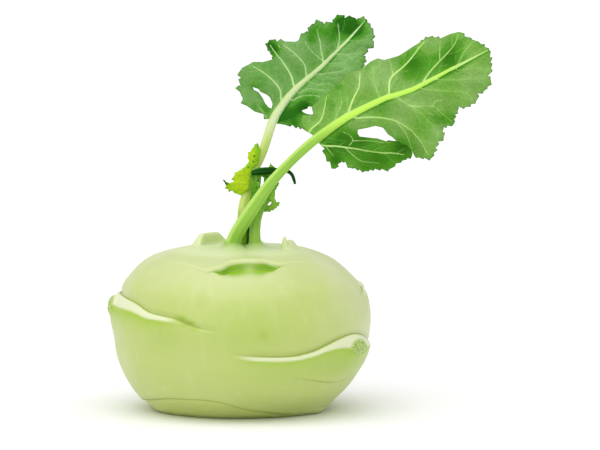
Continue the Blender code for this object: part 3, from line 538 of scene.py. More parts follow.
def skin_masks(run, azimuth, radius):
    """All masks for the skin's colours but the stalks' feet."""
    masks = scar_masks(run, azimuth)
    off, along, below, _ = scar_lines(BROW, run, azimuth)
    depth, _ = brow_scoop(off, below)
    # The hollow under the brow: a deep green that is partly painted shade of the brow above it.
    reach = ease((BROW_HALF + 5 - np.abs(off - BROW_MIDDLE)) / 8)
    hollow = ease(depth / 0.03) * (1 - ease((depth - 0.45) / 0.5)) * reach
    masks["hollow"] = hollow * (1 - 0.35 * hump(off - 4.5, 5.0))
    masks["lip"] = along * ease((below + 0.1) / 0.2) * (1 - ease((below - 0.3) / 0.9))
    masks["blush_and_slit_shade"] = np.zeros_like(run)
    for centre, up, wide, tall, amount in BLUSHES_AND_SLIT_SHADE:
        spread = (turn_from(azimuth, centre) / wide) ** 2 + ((run - up) / tall) ** 2
        masks["blush_and_slit_shade"] = np.maximum(masks["blush_and_slit_shade"], amount * np.exp(-spread))
    masks["crown"] = ease((run - 72.0) / 6.0)
    # Paler to the sides, partly the skin's cream tone and partly a painted reflection of the white
    # room, and paler toward the top.
    to_side = ease((np.abs(turn_from(azimuth, -8)) - 42) / 34)
    side = to_side * (0.45 + 0.55 * ease((run - 16) / 20))
    masks["cream_and_sheen"] = np.maximum(side, 0.6 * ease((run - 44) / 22))
    # Below the fold over the root the skin is yellower and painted lighter, as light from the table
    # under the overhang.
    _, _, above_fold, _ = scar_lines(FOLDS[0], run, azimuth)
    masks["under"] = ease(-above_fold)
    masks["wall_green"] = np.zeros_like(run)
    for wall in CROWN_WALLS:
        along, inner, _ = wall_parts(wall, radius, azimuth)
        green = along ** 2 * ease(inner / 0.2) * (1 - ease((inner - 0.6) / 0.3))
        masks["wall_green"] = np.maximum(masks["wall_green"], green)
    return masks


# %% [markdown]
# The bulb's mesh is a grid of columns round it and rows up it. A grid this fine shows the thin
# creases in the mesh itself, and each mask is kept on it as an attribute for the material. The
# columns are closer in front, and the rows closer at the brow and bent along it, so that its
# sharp edge runs along one row and not in steps across many.

# %% Make the bulb's mesh
BULB_COLUMNS = 400
BULB_ROWS = [(0.0, 0.60, 108), (0.60, 0.69, 32), (0.69, 0.78, 28), (0.78, 1.0, 78)]
BROW_SHARE = 0.69
FRONT_CLOSENESS = 0.3


def keep_on_points(mesh, name, values):
    layer = mesh.attributes.new(name, "FLOAT", "POINT")
    layer.data.foreach_set("value", np.asarray(values, dtype=np.float32))


def new_piece(name, points, faces, attributes=(), smooth=True):
    """An object at the origin from points in millimetres; attributes are floats on its points."""
    mesh = bpy.data.meshes.new(name)
    mesh.from_pydata([tuple(p) for p in np.asarray(points) * MM], [], faces)
    for key, values in dict(attributes).items():
        keep_on_points(mesh, key, values)
    mesh.polygons.foreach_set("use_smooth", [smooth] * len(mesh.polygons))
    return add_object(name, mesh)


def bulb_grid():
    """Shares of the way up and azimuths for the grid's points, row by row."""
    even = np.arange(BULB_COLUMNS) * 360.0 / BULB_COLUMNS - 180.0
    azimuth = even - FRONT_CLOSENESS * np.degrees(np.sin(np.radians(even)))
    share = np.concatenate([
        low + (high - low) * np.arange(count) / count for low, high, count in BULB_ROWS])
    off = turn_from(azimuth, BROW.centre)
    angles, runs = smooth_through(BROW.line, 1.0).T
    bend = (np.interp(off, angles, runs) / 100.0 - BROW_SHARE) * ease((72 - np.abs(off)) / 16)
    near = hump(share - BROW_SHARE, 0.09)
    return share[:, None] + near[:, None] * bend[None, :], azimuth[None, :] + 0 * share[:, None]


def make_bulb():
    share, azimuth = bulb_grid()
    points, masks = bulb_points(share.ravel(), azimuth.ravel())
    points = [*points, (0, 0, CROWN_HEIGHT), (0, 0, 0)]
    top, bottom = len(points) - 2, len(points) - 1
    last = (len(share) - 1) * BULB_COLUMNS
    faces = []
    for column in range(BULB_COLUMNS):
        right = (column + 1) % BULB_COLUMNS
        for low in range(0, last, BULB_COLUMNS):
            high = low + BULB_COLUMNS
            faces.append((low + column, low + right, high + right, high + column))
        faces.append((last + column, last + right, top))
        faces.append((right, column, bottom))
    masks = {key: [*values, values[-1], 0.0] for key, values in masks.items()}
    return new_piece("kohlrabi_bulb", points, faces, masks)


bulb = make_bulb()
print("bulb, faces:", len(bulb.data.polygons))

# %% [markdown]
# ## The bulb's skin
# The skin is pale yellow-green and waxy, greener in the middle of the front and creamier to the
# sides and on the crown; the paler sides are partly a painted reflection of the white room. Light
# goes a little way into it, so the surface has some subsurface scattering. The rims of the ledges
# are cream, and the skin under them is a strong green that is partly painted shade. Each crease is
# a thin olive line of painted shade, the hollow under the brow is a deep green that is partly
# painted shade, and the band below the fold over the root is painted lighter, as light from the
# table. Those come from the masks, so they follow the shape exactly.


# %% Bulb skin material
def bulb_skin():
    material, tree, surface = new_material(
        "bulb_skin", Roughness=0.45, Subsurface_Weight=0.25, Subsurface_Scale=0.004,
        Subsurface_Radius=(1.0, 0.9, 0.35), Coat_Weight=0.12, Coat_Roughness=0.3)
    place = object_place(tree)
    skin = place_group(tree, cloudy, Place=place, Cloud_Scale=45.0, Cell_Scale=1400.0)
    drawn_out = add_node(tree, "ShaderNodeMapping", {"Vector": place, "Scale": (1.0, 1.0, 0.12)})
    streaks = fade(tree, noise(tree, drawn_out.outputs[0], 260.0), 0.5, 0.75)
    fibres = fade(tree, noise(tree, place, 1300.0, detail=3.0), 0.42, 0.6)
    cut = mix_colour(tree, fibres, (0.22, 0.38, 0.025), (0.50, 0.63, 0.17))
    # Painted shade: a thin olive line along each crease.
    off_crease = math_node(tree, "ABSOLUTE", attribute(tree, "crease_mm"))
    crease_shade = times(tree, fade(tree, off_crease, 0.38, 0.06), attribute(tree, "crease_shade_on"))
    colour = layered(tree, (0.52, 0.61, 0.19), [
        # Painted reflection, in part: the paler cream of the sides.
        ("cream_and_sheen", 0.9, (0.63, 0.675, 0.385)),
        (skin["Cloud"], 0.35, (0.47, 0.59, 0.14)),
        # Greener patches, and painted shade in the slit at the end of the left ledge.
        ("blush_and_slit_shade", 1, (0.34, 0.50, 0.03)),
        # Painted light: the yellower band below the fold over the root.
        ("under", 0.7, (0.60, 0.68, 0.20)),
        (streaks, 0.12, (0.66, 0.74, 0.42)),
        ("crown", 1, (0.64, 0.73, 0.37)),
        ("foot", 1, (0.26, 0.47, 0.05)),
        # Painted shade, in part: the strong green under each ledge's rim.
        ("green", 1, (0.38, 0.55, 0.05)),
        ("cream", 0.9, (0.74, 0.78, 0.52)),
        # Painted shade, in part: the deep green hollow under the brow.
        ("hollow", 1, (0.25, 0.47, 0.008)),
        ("lip", 0.25, (0.78, 0.88, 0.50)),
        ("wall_green", 0.4, (0.42, 0.60, 0.10)),
        ("cut", 1, cut),
        (crease_shade, 0.9, (0.25, 0.35, 0.008)),
    ])
    dress(tree, surface, colour, skin["Cells"], strength=0.12, depth=0.0004)
    vary_roughness(tree, surface, skin["Cloud"], 0.40, 0.52)
    return material


bulb.data.materials.append(bulb_skin())
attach(bulb, "root")
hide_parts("bulb")

# %% [markdown]
# ## The stalks
# Each leaf stands on a stalk that swells where it grows out of the crown and thins into the
# leaf's midrib. A stalk is a section swept along a path, so Geometry Nodes suit it: the path is
# a line of points that carry their own thickness, and the section is a circle with shallow
# lengthwise grooves. The ridges between them are kept as an attribute, so that their colour
# follows them.

# %% The stalks' paths, as (x, y, z, radius), and each midrib as (along, across, radius)
FRONT_LEAF = {"origin": (27.2, -12.0, 99.6), "angle": 27.4, "size": 0.985}
BACK_LEAF = {"origin": (10.6, 8.0, 104.2), "angle": 47.3, "size": 1.0}
FRONT_STALK = [
    (-3.3, -8.2, 60.3, 3.5), (-2.6, -8.3, 63.5, 2.6), (-0.35, -8.6, 68.0, 2.5),
    (4.7, -9.3, 75.8, 2.35), (10.6, -10.2, 84.2, 1.95), (17.6, -11.0, 91.9, 1.7),
]
FRONT_MIDRIB = [
    (-3.0, 0.2, 1.7), (3.1, 1.4, 1.6), (9.0, 2.4, 1.45), (14.7, 3.0, 1.3), (20.0, 3.0, 1.15),
    (25.4, 2.9, 1.05), (30.6, 2.6, 0.95), (35.4, 1.6, 0.85), (40.4, 0.8, 0.8), (45.7, 0.7, 0.7),
    (51.1, 0.7, 0.6), (56.6, 0.8, 0.5), (60.5, 0.7, 0.4),
]
BACK_STALK = [
    (1.3, 0.6, 60.3, 3.0), (1.2, 0.8, 63.5, 2.8), (1.1, 1.2, 68.0, 2.6), (1.25, 2.0, 74.5, 2.45),
    (2.7, 2.9, 81.0, 1.85), (4.6, 3.6, 87.6, 1.65), (7.9, 5.4, 95.0, 1.65),
]
BACK_MIDRIB = [
    (0.3, -0.2, 1.65), (4.3, 1.1, 1.5), (8.1, 1.7, 1.4), (12.0, 2.1, 1.3), (16.3, 2.1, 1.1),
    (20.5, 1.7, 0.9), (24.9, 1.1, 0.8), (29.1, 0.6, 0.7), (33.1, 0.5, 0.55), (38.0, 0.3, 0.45),
    (42.0, 0.1, 0.4),
]
YOUNG_STALK = [
    (5.2, -6.2, 60.3, 2.7), (4.9, -5.8, 63.5, 2.1), (5.0, -5.0, 67.0, 1.9), (5.7, -4.0, 71.0, 1.7),
    (7.6, -2.6, 76.0, 1.4), (9.6, -1.6, 81.0, 1.1), (11.0, -1.2, 85.5, 0.8),
]
ROLLED_LEAFLET = [
    (3.7, -3.1, 87.4, 0.75), (6.0, -3.2, 87.8, 1.15), (8.5, -3.2, 88.1, 1.3),
    (11.0, -3.2, 88.2, 1.2), (13.8, -3.2, 88.2, 0.9), (16.6, -3.1, 88.2, 0.7),
    (18.4, -3.0, 87.0, 0.6), (19.2, -3.0, 85.2, 0.55), (19.7, -3.0, 83.4, 0.4),
]
FOOT_DEPTH = 2.0
LOBE_SLIT = [
    (24.5, -12.2), (26.2, -13.9), (27.3, -15.35), (28.8, -17.4), (29.5, -19.6), (29.9, -22.5),
]
LOBE_TUCK = 1.6


# %% How the two leaves bend, from places in their own planes
def leaf_place(leaf, along, across, back):
    tilt = math.radians(leaf["angle"])
    x0, y0, z0 = leaf["origin"]
    x = x0 + leaf["size"] * (along * math.cos(tilt) - across * math.sin(tilt))
    z = z0 + leaf["size"] * (along * math.sin(tilt) + across * math.cos(tilt))
    return np.stack([x, y0 + back, z], axis=-1)


def midrib_value(midrib, along, column):
    """The midrib's place across the leaf (column 1) or its radius (column 2)."""
    return np.interp(along, [row[0] for row in midrib], [row[column] for row in midrib])


def tucked(along, across):
    """1 in the front leaf's lobe by its slit, 0 on the blade's side of it and far from it."""
    side = np.interp(along, *zip(*LOBE_SLIT)) - across
    near = hump(np.clip(side, 0, 60), 6.0)
    return ease(side / 0.25) * near * ease((along - 19) / 6) * ease((30.0 - along) / 0.4)


def on_front_leaf(along, across):
    """The front leaf's edges are cupped back, its margin waved and its lobe tucked behind."""
    off = across - midrib_value(FRONT_MIDRIB, along, 1)
    cup = 0.26 * off * off / (np.abs(off) + 4.0)
    arch = 5.0 * (np.maximum(along, 0.0) / 72.5) ** 2
    wave = 1.4 * (np.abs(off) / 14.0) ** 1.5 * np.sin(along / 2.5 + np.where(off > 0, 0.6, 2.1))
    lobe = 2.0 * ease((-across - 5) / 12) * ease((31 - along) / 6)
    tuck = tucked(along, across)
    back = cup + arch + wave + lobe + LOBE_TUCK * tuck
    return leaf_place(FRONT_LEAF, along + 0.35 * tuck, across + 0.35 * tuck, back)


def on_back_leaf(along, across):
    """The back leaf's edges are cupped to the viewer, and its tip is arched back."""
    off = across - midrib_value(BACK_MIDRIB, along, 1)
    cup = -0.28 * off * off / (np.abs(off) + 4.0)
    arch = 5.0 * (np.maximum(along, 0.0) / 52.0) ** 2
    wave = 1.5 * (np.abs(off) / 13.0) ** 1.5 * np.sin(along / 2.2 + np.where(off > 0, 0.0, 1.7))
    return leaf_place(BACK_LEAF, along, across, cup + arch + wave)


def stalk_route(stalk, swell, midrib=(), on_leaf=None):
    """A smooth path that starts swollen in the crown and ends along the midrib, if it has one."""
    rows = [(*on_leaf(np.float64(along), np.float64(across)), radius)
            for along, across, radius in midrib]
    foot = np.array(stalk[0]) - [0, 0, FOOT_DEPTH, -swell]
    return smooth_through([tuple(foot), *stalk, *rows], 1.0)


# %% The sweep, as a Geometry Nodes tree
# The side of a stalk that is painted paler, as painted light from the sun, given as a direction.
PAINTED_LIT_SIDE = (-0.75, -0.25, 0.6)  # the side of a stalk that is paler, as a direction


def new_geometry_tree(name, inputs):
    """A Geometry Nodes tree with these inputs besides its geometry and its skin."""
    inputs = [("Geometry", "Geometry", None), *inputs, ("Skin", "Material", None)]
    return new_group(name, "GeometryNodeTree", inputs, [("Geometry", "Geometry")])


def finish_tree(tree, geometry, given, result):
    """Makes instances real, gives the skin, and hands the geometry on."""
    whole = add_node(tree, "GeometryNodeRealizeInstances", {"Geometry": geometry}).outputs[0]
    dressed = add_node(tree, "GeometryNodeSetMaterial", {
        "Geometry": whole, "Material": given["Skin"]})
    tree.links.new(dressed.outputs[0], result["Geometry"])
    return tree


def stored(tree, geometry, name, value):
    """The geometry with this value kept on its points."""
    return add_node(tree, "GeometryNodeStoreNamedAttribute", {
        "Geometry": geometry, "Name": name, "Value": value},
        data_type="FLOAT", domain="POINT").outputs[0]


def named_value(tree, name):
    return add_node(tree, "GeometryNodeInputNamedAttribute", {"Name": name},
                    data_type="FLOAT").outputs["Attribute"]


def sweep_tree():
    """Sweeps a grooved section along the piece's own points; each point gives its thickness."""
    tree, given, result = new_geometry_tree("grooved_sweep", [
        ("Sides", "Int", 40), ("Grooves", "Int", 7), ("Groove Depth", "Float", 0.06)])
    path = add_node(tree, "GeometryNodeMeshToCurve", {"Mesh": given["Geometry"]})
    circle = add_node(tree, "GeometryNodeCurvePrimitiveCircle", {
        "Resolution": given["Sides"], "Radius": 1.0})
    share = add_node(tree, "GeometryNodeSplineParameter").outputs["Factor"]
    angle = times(tree, share, 2 * math.pi)
    even = math_node(tree, "COSINE", times(tree, angle, given["Grooves"]))
    uneven = math_node(tree, "SINE", times(tree, angle, 3.0))
    ridge = math_node(tree, "ADD", times(tree, even, 0.7), times(tree, uneven, 0.3))
    section = stored(tree, circle.outputs["Curve"], "ridge", ridge)
    grown = math_node(tree, "ADD", 1.0, times(tree, ridge, given["Groove Depth"]))
    size = add_node(tree, "ShaderNodeCombineXYZ", {"X": grown, "Y": grown, "Z": 1.0})
    spot = add_node(tree, "GeometryNodeInputPosition").outputs[0]
    scaled = vector_node(tree, "MULTIPLY", spot, size.outputs[0])
    section = add_node(tree, "GeometryNodeSetPosition", {
        "Geometry": section, "Position": scaled.outputs[0]})
    swept = add_node(tree, "GeometryNodeCurveToMesh", {
        "Curve": path.outputs["Curve"], "Profile Curve": section.outputs["Geometry"],
        "Scale": named_value(tree, "thickness"), "Fill Caps": True})
    # Painted light: how much each point faces the sun, kept for the skin to paint that side paler.
    normal = add_node(tree, "GeometryNodeInputNormal").outputs[0]
    facing = vector_node(tree, "DOT_PRODUCT", normal, PAINTED_LIT_SIDE).outputs["Value"]
    sided = stored(tree, swept.outputs["Mesh"], "painted_lit_side", facing)
    smooth = add_node(tree, "GeometryNodeSetShadeSmooth", {"Geometry": sided})
    return finish_tree(tree, smooth.outputs[0], given, result)


def socket_id(tree, name):
    return next(item.identifier for item in tree.interface.items_tree
                if item.name == name and item.in_out == "INPUT")


def through_nodes(piece, tree, name, **values):
    """Runs a Geometry Nodes tree on a piece with these input values. The result is kept as a
    plain mesh object, and the piece goes with its node modifier."""
    modifier = piece.modifiers.new(tree.name, "NODES")
    modifier.node_group = tree
    for key, value in values.items():
        modifier[socket_id(tree, key.replace("_", " "))] = value
    depsgraph = bpy.context.evaluated_depsgraph_get()
    mesh = bpy.data.meshes.new_from_object(piece.evaluated_get(depsgraph), depsgraph=depsgraph)
    bpy.data.objects.remove(piece, do_unlink=True)
    print(name, "faces:", len(mesh.polygons))
    return add_object(name, mesh)


SWEEP = sweep_tree()


def sweep(name, route, skin, **values):
    mesh = bpy.data.meshes.new(name)
    steps = [(k, k + 1) for k in range(len(route) - 1)]
    mesh.from_pydata([tuple(row[:3] * MM) for row in route], steps, [])
    keep_on_points(mesh, "thickness", route[:, 3] * MM)
    return through_nodes(add_object(name, mesh), SWEEP, name, Skin=skin, **values)


# %% [markdown]
# A stalk's skin is smooth and a little glossy, paler along its ridges and greener toward the
# crown, and its side toward the sun is painted paler, as painted light. The front stalk is a
# bright green and the back stalk is nearly cream, so the same recipe is used with different
# colours. At the back stalk's foot, the cleft beside the young stalk is painted dark, as painted
# shade.


# %% Stalk skins
def stalk_skin(name, foot, main, pale_and_lit, top, top_height, slit=None, shine=0.25):
    """Colours from the foot up, with the side toward the sun painted paler as painted light; slit
    is the x from which the front of the foot is painted dark, as the shade in the cleft."""
    material, tree, surface = new_material(
        name, Roughness=0.42, Subsurface_Weight=0.1, Subsurface_Scale=0.001,
        Subsurface_Radius=(1.0, 0.9, 0.3), Specular_IOR_Level=shine)
    place = object_place(tree)
    skin = place_group(tree, cloudy, Place=place, Cloud_Scale=90.0, Cell_Scale=2500.0)
    x, y, z = add_node(tree, "ShaderNodeSeparateXYZ", {0: place}).outputs
    layers = [
        (fade(tree, z, 0.062, 0.072), 1, main),
        (fade(tree, z, top_height - 0.012, top_height), 1, top),
        (fade(tree, attribute(tree, "ridge"), -0.2, 0.9), 0.25, pale_and_lit),
        # Painted light: the side toward the sun is painted paler.
        (fade(tree, attribute(tree, "painted_lit_side"), 0.55, 0.95), 0.75, pale_and_lit),
        (skin["Cloud"], 0.2, pale_and_lit),
    ]
    if slit is not None:
        # Painted shade: the cleft between the back and young stalks is painted nearly black-green.
        right = fade(tree, x, slit - 0.0004, slit + 0.0004)
        cleft_shade = times(tree, right, fade(tree, z, 0.073, 0.071))
        cleft_shade = times(tree, cleft_shade, fade(tree, y, 0.0012, 0.0002))
        layers += [(fade(tree, z, 0.075, 0.068), 1, foot), (cleft_shade, 1, (0.015, 0.075, 0.002))]
    colour = layered(tree, foot, layers)
    dress(tree, surface, colour, skin["Cells"], strength=0.1, depth=0.0002)
    return material


front_stalk_skin = stalk_skin(
    "front_stalk_skin", (0.20, 0.43, 0.025), (0.26, 0.52, 0.05), (0.52, 0.76, 0.16),
    (0.55, 0.92, 0.10), top_height=0.110)
back_stalk_skin = stalk_skin(
    "back_stalk_skin", (0.18, 0.38, 0.02), (0.50, 0.64, 0.12), (0.62, 0.74, 0.25),
    (0.80, 0.90, 0.56), top_height=0.107, slit=0.0019)
young_stalk_skin = stalk_skin(
    "young_stalk_skin", (0.24, 0.45, 0.04), (0.18, 0.42, 0.02), (0.40, 0.62, 0.11),
    (0.12, 0.38, 0.01), top_height=0.080)

# %% Sweep the stalks
front_route = stalk_route(FRONT_STALK, 0.6, FRONT_MIDRIB, on_front_leaf)
front_stalk = sweep("front_stalk", front_route, front_stalk_skin)
back_route = stalk_route(BACK_STALK, 0.6, BACK_MIDRIB, on_back_leaf)
back_stalk = sweep("back_stalk", back_route, back_stalk_skin)
young_stalk = sweep("young_stalk", stalk_route(YOUNG_STALK, 0.4), young_stalk_skin)
for stalk, node, slot in ((front_stalk, "front_leaf_stalk", "stalk_green"),
                          (back_stalk, "back_leaf_stalk", "stalk_pale"),
                          (young_stalk, "young_leaf", "young_green")):
    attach(stalk, "root")
    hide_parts(node)

# %% [markdown]
# ## The leaf blades
# A blade is a thin sheet with a toothed margin, stiffened by ribs that branch off the midrib.
# Its outline is laid flat, filled with small triangles, and then bent in space. At each point
# the distance to the nearest rib is measured: the rib stands out there, the sheet between ribs
# swells like a pillow, and the material draws the pale veins from the same distance.

# %% Outlines as (along the leaf, across it), from above the stalk round to below it
FRONT_MARGIN = [
    (-1.6, 5.8), (-1.5, 9.1), (0.2, 10.9), (3.8, 9.0), (4.7, 12.3), (9.0, 13.3), (12.0, 13.9),
    (15.3, 14.9), (18.3, 15.5), (22.9, 17.2), (26.7, 16.0), (31.4, 16.8), (34.5, 16.6),
    (36.4, 15.0), (41.9, 14.1), (45.7, 14.3), (50.8, 14.6), (54.5, 15.1), (56.6, 14.0),
    (58.3, 12.6), (62.0, 12.3), (65.6, 11.4), (66.8, 9.0), (68.8, 6.6), (70.7, 4.0), (72.5, 0.4),
    (71.6, -1.9), (70.1, -5.9), (67.7, -7.9), (67.7, -10.6), (63.8, -12.4), (61.2, -12.1),
    (59.4, -14.5), (55.2, -14.4), (52.8, -12.7), (51.7, -14.5), (50.2, -15.1), (47.9, -18.5),
    (43.9, -16.9), (42.6, -20.9), (40.0, -21.1), (35.0, -25.6), (31.0, -23.5), (29.9, -21.2),
]
FRONT_SINUS = [
    (29.7, -19.5), (29.0, -17.3), (27.5, -15.2), (26.4, -13.5), (25.9, -11.9), (25.0, -10.1),
    (24.5, -6.9), (22.3, -4.9), (19.4, -4.2), (15.9, -3.2), (15.2, -4.5), (15.3, -5.9),
    (18.5, -8.1), (20.9, -9.6), (23.0, -11.8), (25.1, -13.7), (26.1, -14.3), (27.1, -15.5),
    (28.6, -17.5), (29.3, -19.7), (29.3, -21.5),
]
FRONT_LOBE = [
    (28.6, -22.2), (27.0, -21.8), (25.0, -21.5), (22.5, -21.2), (19.5, -22.1), (14.5, -19.8),
    (10.9, -18.6), (8.2, -15.4), (6.9, -14.8), (6.3, -11.8), (5.1, -10.1), (1.6, -12.5),
    (1.2, -9.1), (0.8, -6.2), (1.8, -3.8),
]
BACK_MARGIN = [
    (-0.1, 3.2), (1.2, 4.5), (-0.2, 7.5), (-0.5, 11.0), (-1.3, 13.6), (0.4, 14.0), (1.5, 16.6),
    (1.4, 18.8), (3.2, 17.8), (5.7, 19.8), (5.9, 21.7), (8.9, 22.1), (13.0, 20.6), (15.2, 17.8),
    (18.2, 15.8), (19.3, 16.4), (20.2, 20.1), (21.9, 21.4), (23.3, 21.5), (24.4, 19.2),
    (26.1, 18.9), (26.3, 17.1), (28.9, 13.8), (30.1, 13.5), (33.1, 13.9), (34.6, 12.8),
    (36.4, 14.0), (38.3, 13.4), (40.3, 13.1), (40.4, 10.6), (42.0, 10.2), (42.7, 8.4),
    (44.5, 9.1), (46.8, 8.6), (47.2, 6.4), (49.3, 4.9), (49.6, 2.8), (50.7, 2.4), (52.1, 0.6),
    (51.2, -3.1), (50.1, -5.5), (48.1, -6.5), (47.3, -8.2), (44.7, -7.4), (41.9, -8.1),
    (41.4, -9.5), (38.1, -10.7), (35.5, -12.9), (32.0, -12.2), (29.5, -13.6), (26.0, -12.8),
    (23.4, -13.4), (21.0, -10.6), (18.6, -9.0), (16.9, -6.8), (14.5, -5.7), (11.8, -4.9),
]
BACK_SINUS = [(11.6, -5.5), (12.0, -6.9)]
BACK_LOBE = [
    (12.9, -8.3), (13.9, -10.6), (11.4, -12.6), (8.6, -11.6), (7.1, -9.2), (6.6, -7.8), (5.6, -5.8),
    (3.6, -3.8),
]
BACK_HOLE = [
    (6.0, 14.4), (6.9, 12.2), (6.6, 11.0), (7.3, 8.7), (7.4, 7.0), (6.2, 4.6), (4.7, 3.8),
    (4.3, 5.0), (4.6, 6.8), (5.4, 8.8), (6.0, 11.4), (5.4, 13.2),
]
# Ribs as (strength, line from the midrib out), and finer ones that branch off them
FRONT_RIBS = [
    (0.9, [(-0.4, 4.4), (5.3, 6.1), (8.8, 9.7), (11.2, 13.0)]),
    (0.5, [(9.3, 3.4), (13.9, 7.0), (15.8, 9.4)]),
    (1.0, [(16.0, 4.3), (19.4, 7.4), (23.6, 10.6), (26.2, 15.0)]),
    (0.45, [(28.8, 4.1), (28.9, 7.9), (31.3, 14.2)]),
    (1.0, [(32.3, 3.4), (35.3, 7.8), (43.1, 10.2), (52.8, 14.0)]),
    (0.8, [(44.9, 1.2), (48.6, 3.1), (53.9, 5.1), (61.3, 7.8), (64.8, 10.3)]),
    (0.5, [(60.3, 1.6), (63.6, 3.9), (68.2, 5.6)]),
    (0.9, [(1.2, -1.8), (6.5, -5.1), (10.0, -7.7), (15.4, -11.9), (22.3, -16.8), (26.2, -20.0)]),
    (0.8, [(17.3, 1.2), (23.0, -1.5), (29.2, -6.1), (32.9, -11.5), (34.5, -16.7), (35.1, -23.9)]),
    (0.5, [(34.1, 1.6), (37.3, -4.1), (44.3, -8.3), (46.0, -12.1), (48.3, -17.1)]),
    (0.35, [(33.1, 1.4), (37.9, -5.2), (40.5, -12.5), (41.7, -18.5)]),
    (0.4, [(44.3, -1.0), (49.9, -4.6), (57.1, -9.3), (58.6, -12.7)]),
    (0.4, [(50.4, -0.2), (56.0, -3.3), (66.3, -8.1)]),
    (0.35, [(58.8, -0.6), (65.2, -3.4), (68.6, -6.2)]),
]
FRONT_SIDE_RIBS = [
    [(29.8, -6.4), (30.9, -13.4), (29.9, -20.5)], [(36.8, 8.5), (37.4, 11.2), (38.1, 14.0)],
    [(54.6, 5.5), (56.0, 8.5), (57.9, 11.8)], [(2.6, -3.1), (3.4, -7.8)],
    [(10.3, -6.8), (12.4, -6.0), (12.3, -3.5), (10.5, -1.2)],
    [(12.4, -6.1), (18.5, -9.4), (23.9, -13.6)],
    [(8.6, -7.0), (10.5, -12.5), (12.3, -15.3), (17.0, -18.6)],
    [(36.8, -4.1), (40.0, -6.3), (43.1, -11.7)],
    [(44.3, -8.3), (46.4, -7.2), (48.7, -8.1)],
]
BACK_RIBS = [
    (0.9, [(9.6, 3.6), (11.6, 5.7), (12.5, 8.3), (12.7, 12.7), (12.2, 17.5), (11.7, 19.9)]),
    (1.0, [(16.3, 3.4), (18.4, 6.5), (19.6, 10.0), (20.4, 13.2), (21.2, 17.4), (22.0, 20.2)]),
    (0.8, [(22.2, 2.6), (24.6, 5.5), (25.2, 8.5), (25.4, 12.5), (25.0, 16.9)]),
    (0.8, [(30.3, 1.6), (32.8, 5.0), (34.9, 7.4), (37.6, 11.6)]),
    (0.7, [(37.7, 1.2), (40.5, 2.8), (44.2, 7.2)]),
    (0.6, [(12.0, 0.2), (14.9, -0.9), (17.7, -3.1), (20.3, -6.4)]),
    (0.5, [(15.7, 0.3), (18.7, -0.8), (21.2, -3.7), (23.7, -7.1)]),
    (0.4, [(21.3, 0.4), (22.4, -2.5), (26.4, -6.0)]),
    (0.5, [(25.0, -0.1), (29.0, -3.2), (32.0, -5.6), (34.8, -6.9)]),
    (0.35, [(26.1, -0.3), (27.4, -4.2), (30.1, -6.9)]),
    (0.35, [(31.2, -0.6), (35.2, -4.6)]),
    (0.4, [(35.6, -0.5), (38.6, -3.9), (42.6, -6.9)]),
]
BACK_SIDE_RIBS = [
    [(23.7, 17.0), (24.1, 18.8)], [(30.3, 1.2), (30.1, 4.5), (30.3, 9.0), (31.7, 12.7)],
    [(0.9, 2.9), (1.7, 5.1), (2.1, 8.8)],
]


# %% Outline helpers
TOOTH_PITCH = 2.3
TOOTH_DEPTH = 0.8
TOOTH_LEAN = 0.74
FRONT_ROLLED = [(-2.0, 50.9), (58.2, 65.7)]
BACK_ROLLED = [(-2.0, 1.6), (5.8, 18.3), (24.3, 30.2)]


def toothed(margin, rolled, rng, tips, pitch=TOOTH_PITCH, depth=TOOTH_DEPTH):
    """The margin with a small tooth on each pitch of it, pointing outwards and to the leaf's tip.
    Its rolled parts, above the midrib, stay plain. The teeth's tips are added to tips."""
    teeth = [margin[0]]
    for (x1, y1), (x2, y2) in zip(margin, margin[1:]):
        low_x, high_x = min(x1, x2), max(x1, x2)
        if min(y1, y2) > 0 and any(low <= low_x and high_x <= high for low, high in rolled):
            teeth.append((x2, y2))
            continue
        length = math.dist((x1, y1), (x2, y2))
        count = max(1, round(length / pitch))
        out = ((y1 - y2) / length, (x2 - x1) / length)
        lean = TOOTH_LEAN if x2 > x1 else 1 - TOOTH_LEAN
        for k in range(count):
            at = (k + lean) / count
            rise = depth * rng.uniform(0.5, 1.3) * min(1.0, length / count / pitch)
            teeth.append((x1 + (x2 - x1) * at + out[0] * rise, y1 + (y2 - y1) * at + out[1] * rise))
            tips.append(teeth[-1])
            teeth.append((x1 + (x2 - x1) * (k + 1) / count, y1 + (y2 - y1) * (k + 1) / count))
    return teeth


def finely_stepped(ring, step):
    """The closed ring with extra points, so that no side of it is longer than step."""
    points = []
    for (x1, y1), (x2, y2) in zip(ring, ring[1:] + ring[:1]):
        count = max(1, math.ceil(math.dist((x1, y1), (x2, y2)) / step))
        points += [(x1 + (x2 - x1) * k / count, y1 + (y2 - y1) * k / count) for k in range(count)]
    return points


def inside(points, ring):
    """For each point, whether it lies in the closed ring."""
    x, y = np.asarray(points, float).T
    within = np.zeros(len(x), bool)
    for (x1, y1), (x2, y2) in zip(ring, ring[1:] + ring[:1]):
        crosses = (y1 > y) != (y2 > y)
        if y1 != y2:
            within ^= crosses & (x < (x2 - x1) * (y - y1) / (y2 - y1) + x1)
    return within


def distance_beyond(points, lines):
    """For each point, its distance to the nearest of the lines, less the line's half-width
    there. A line is rows of (along, across, half-width)."""
    points = np.asarray(points, float)
    nearest = np.full(len(points), 1e9)
    for line in lines:
        for start, end in zip(line, line[1:]):
            way = end[:2] - start[:2]
            share = np.clip((points - start[:2]) @ way / max(way @ way, 1e-9), 0, 1)
            gap = np.linalg.norm(points - start[:2] - share[:, None] * way, axis=1)
            nearest = np.minimum(nearest, gap - start[2] - share * (end[2] - start[2]))
    return nearest


# %% Veins: the ribs that branch off the midrib, and smaller branches off those by rule
def tapered(line, start_width, end_width, spacing=1.0):
    curve = smooth_through(line, spacing)[:, :2]
    widths = np.linspace(start_width, end_width, len(curve))
    return np.column_stack([curve, widths])


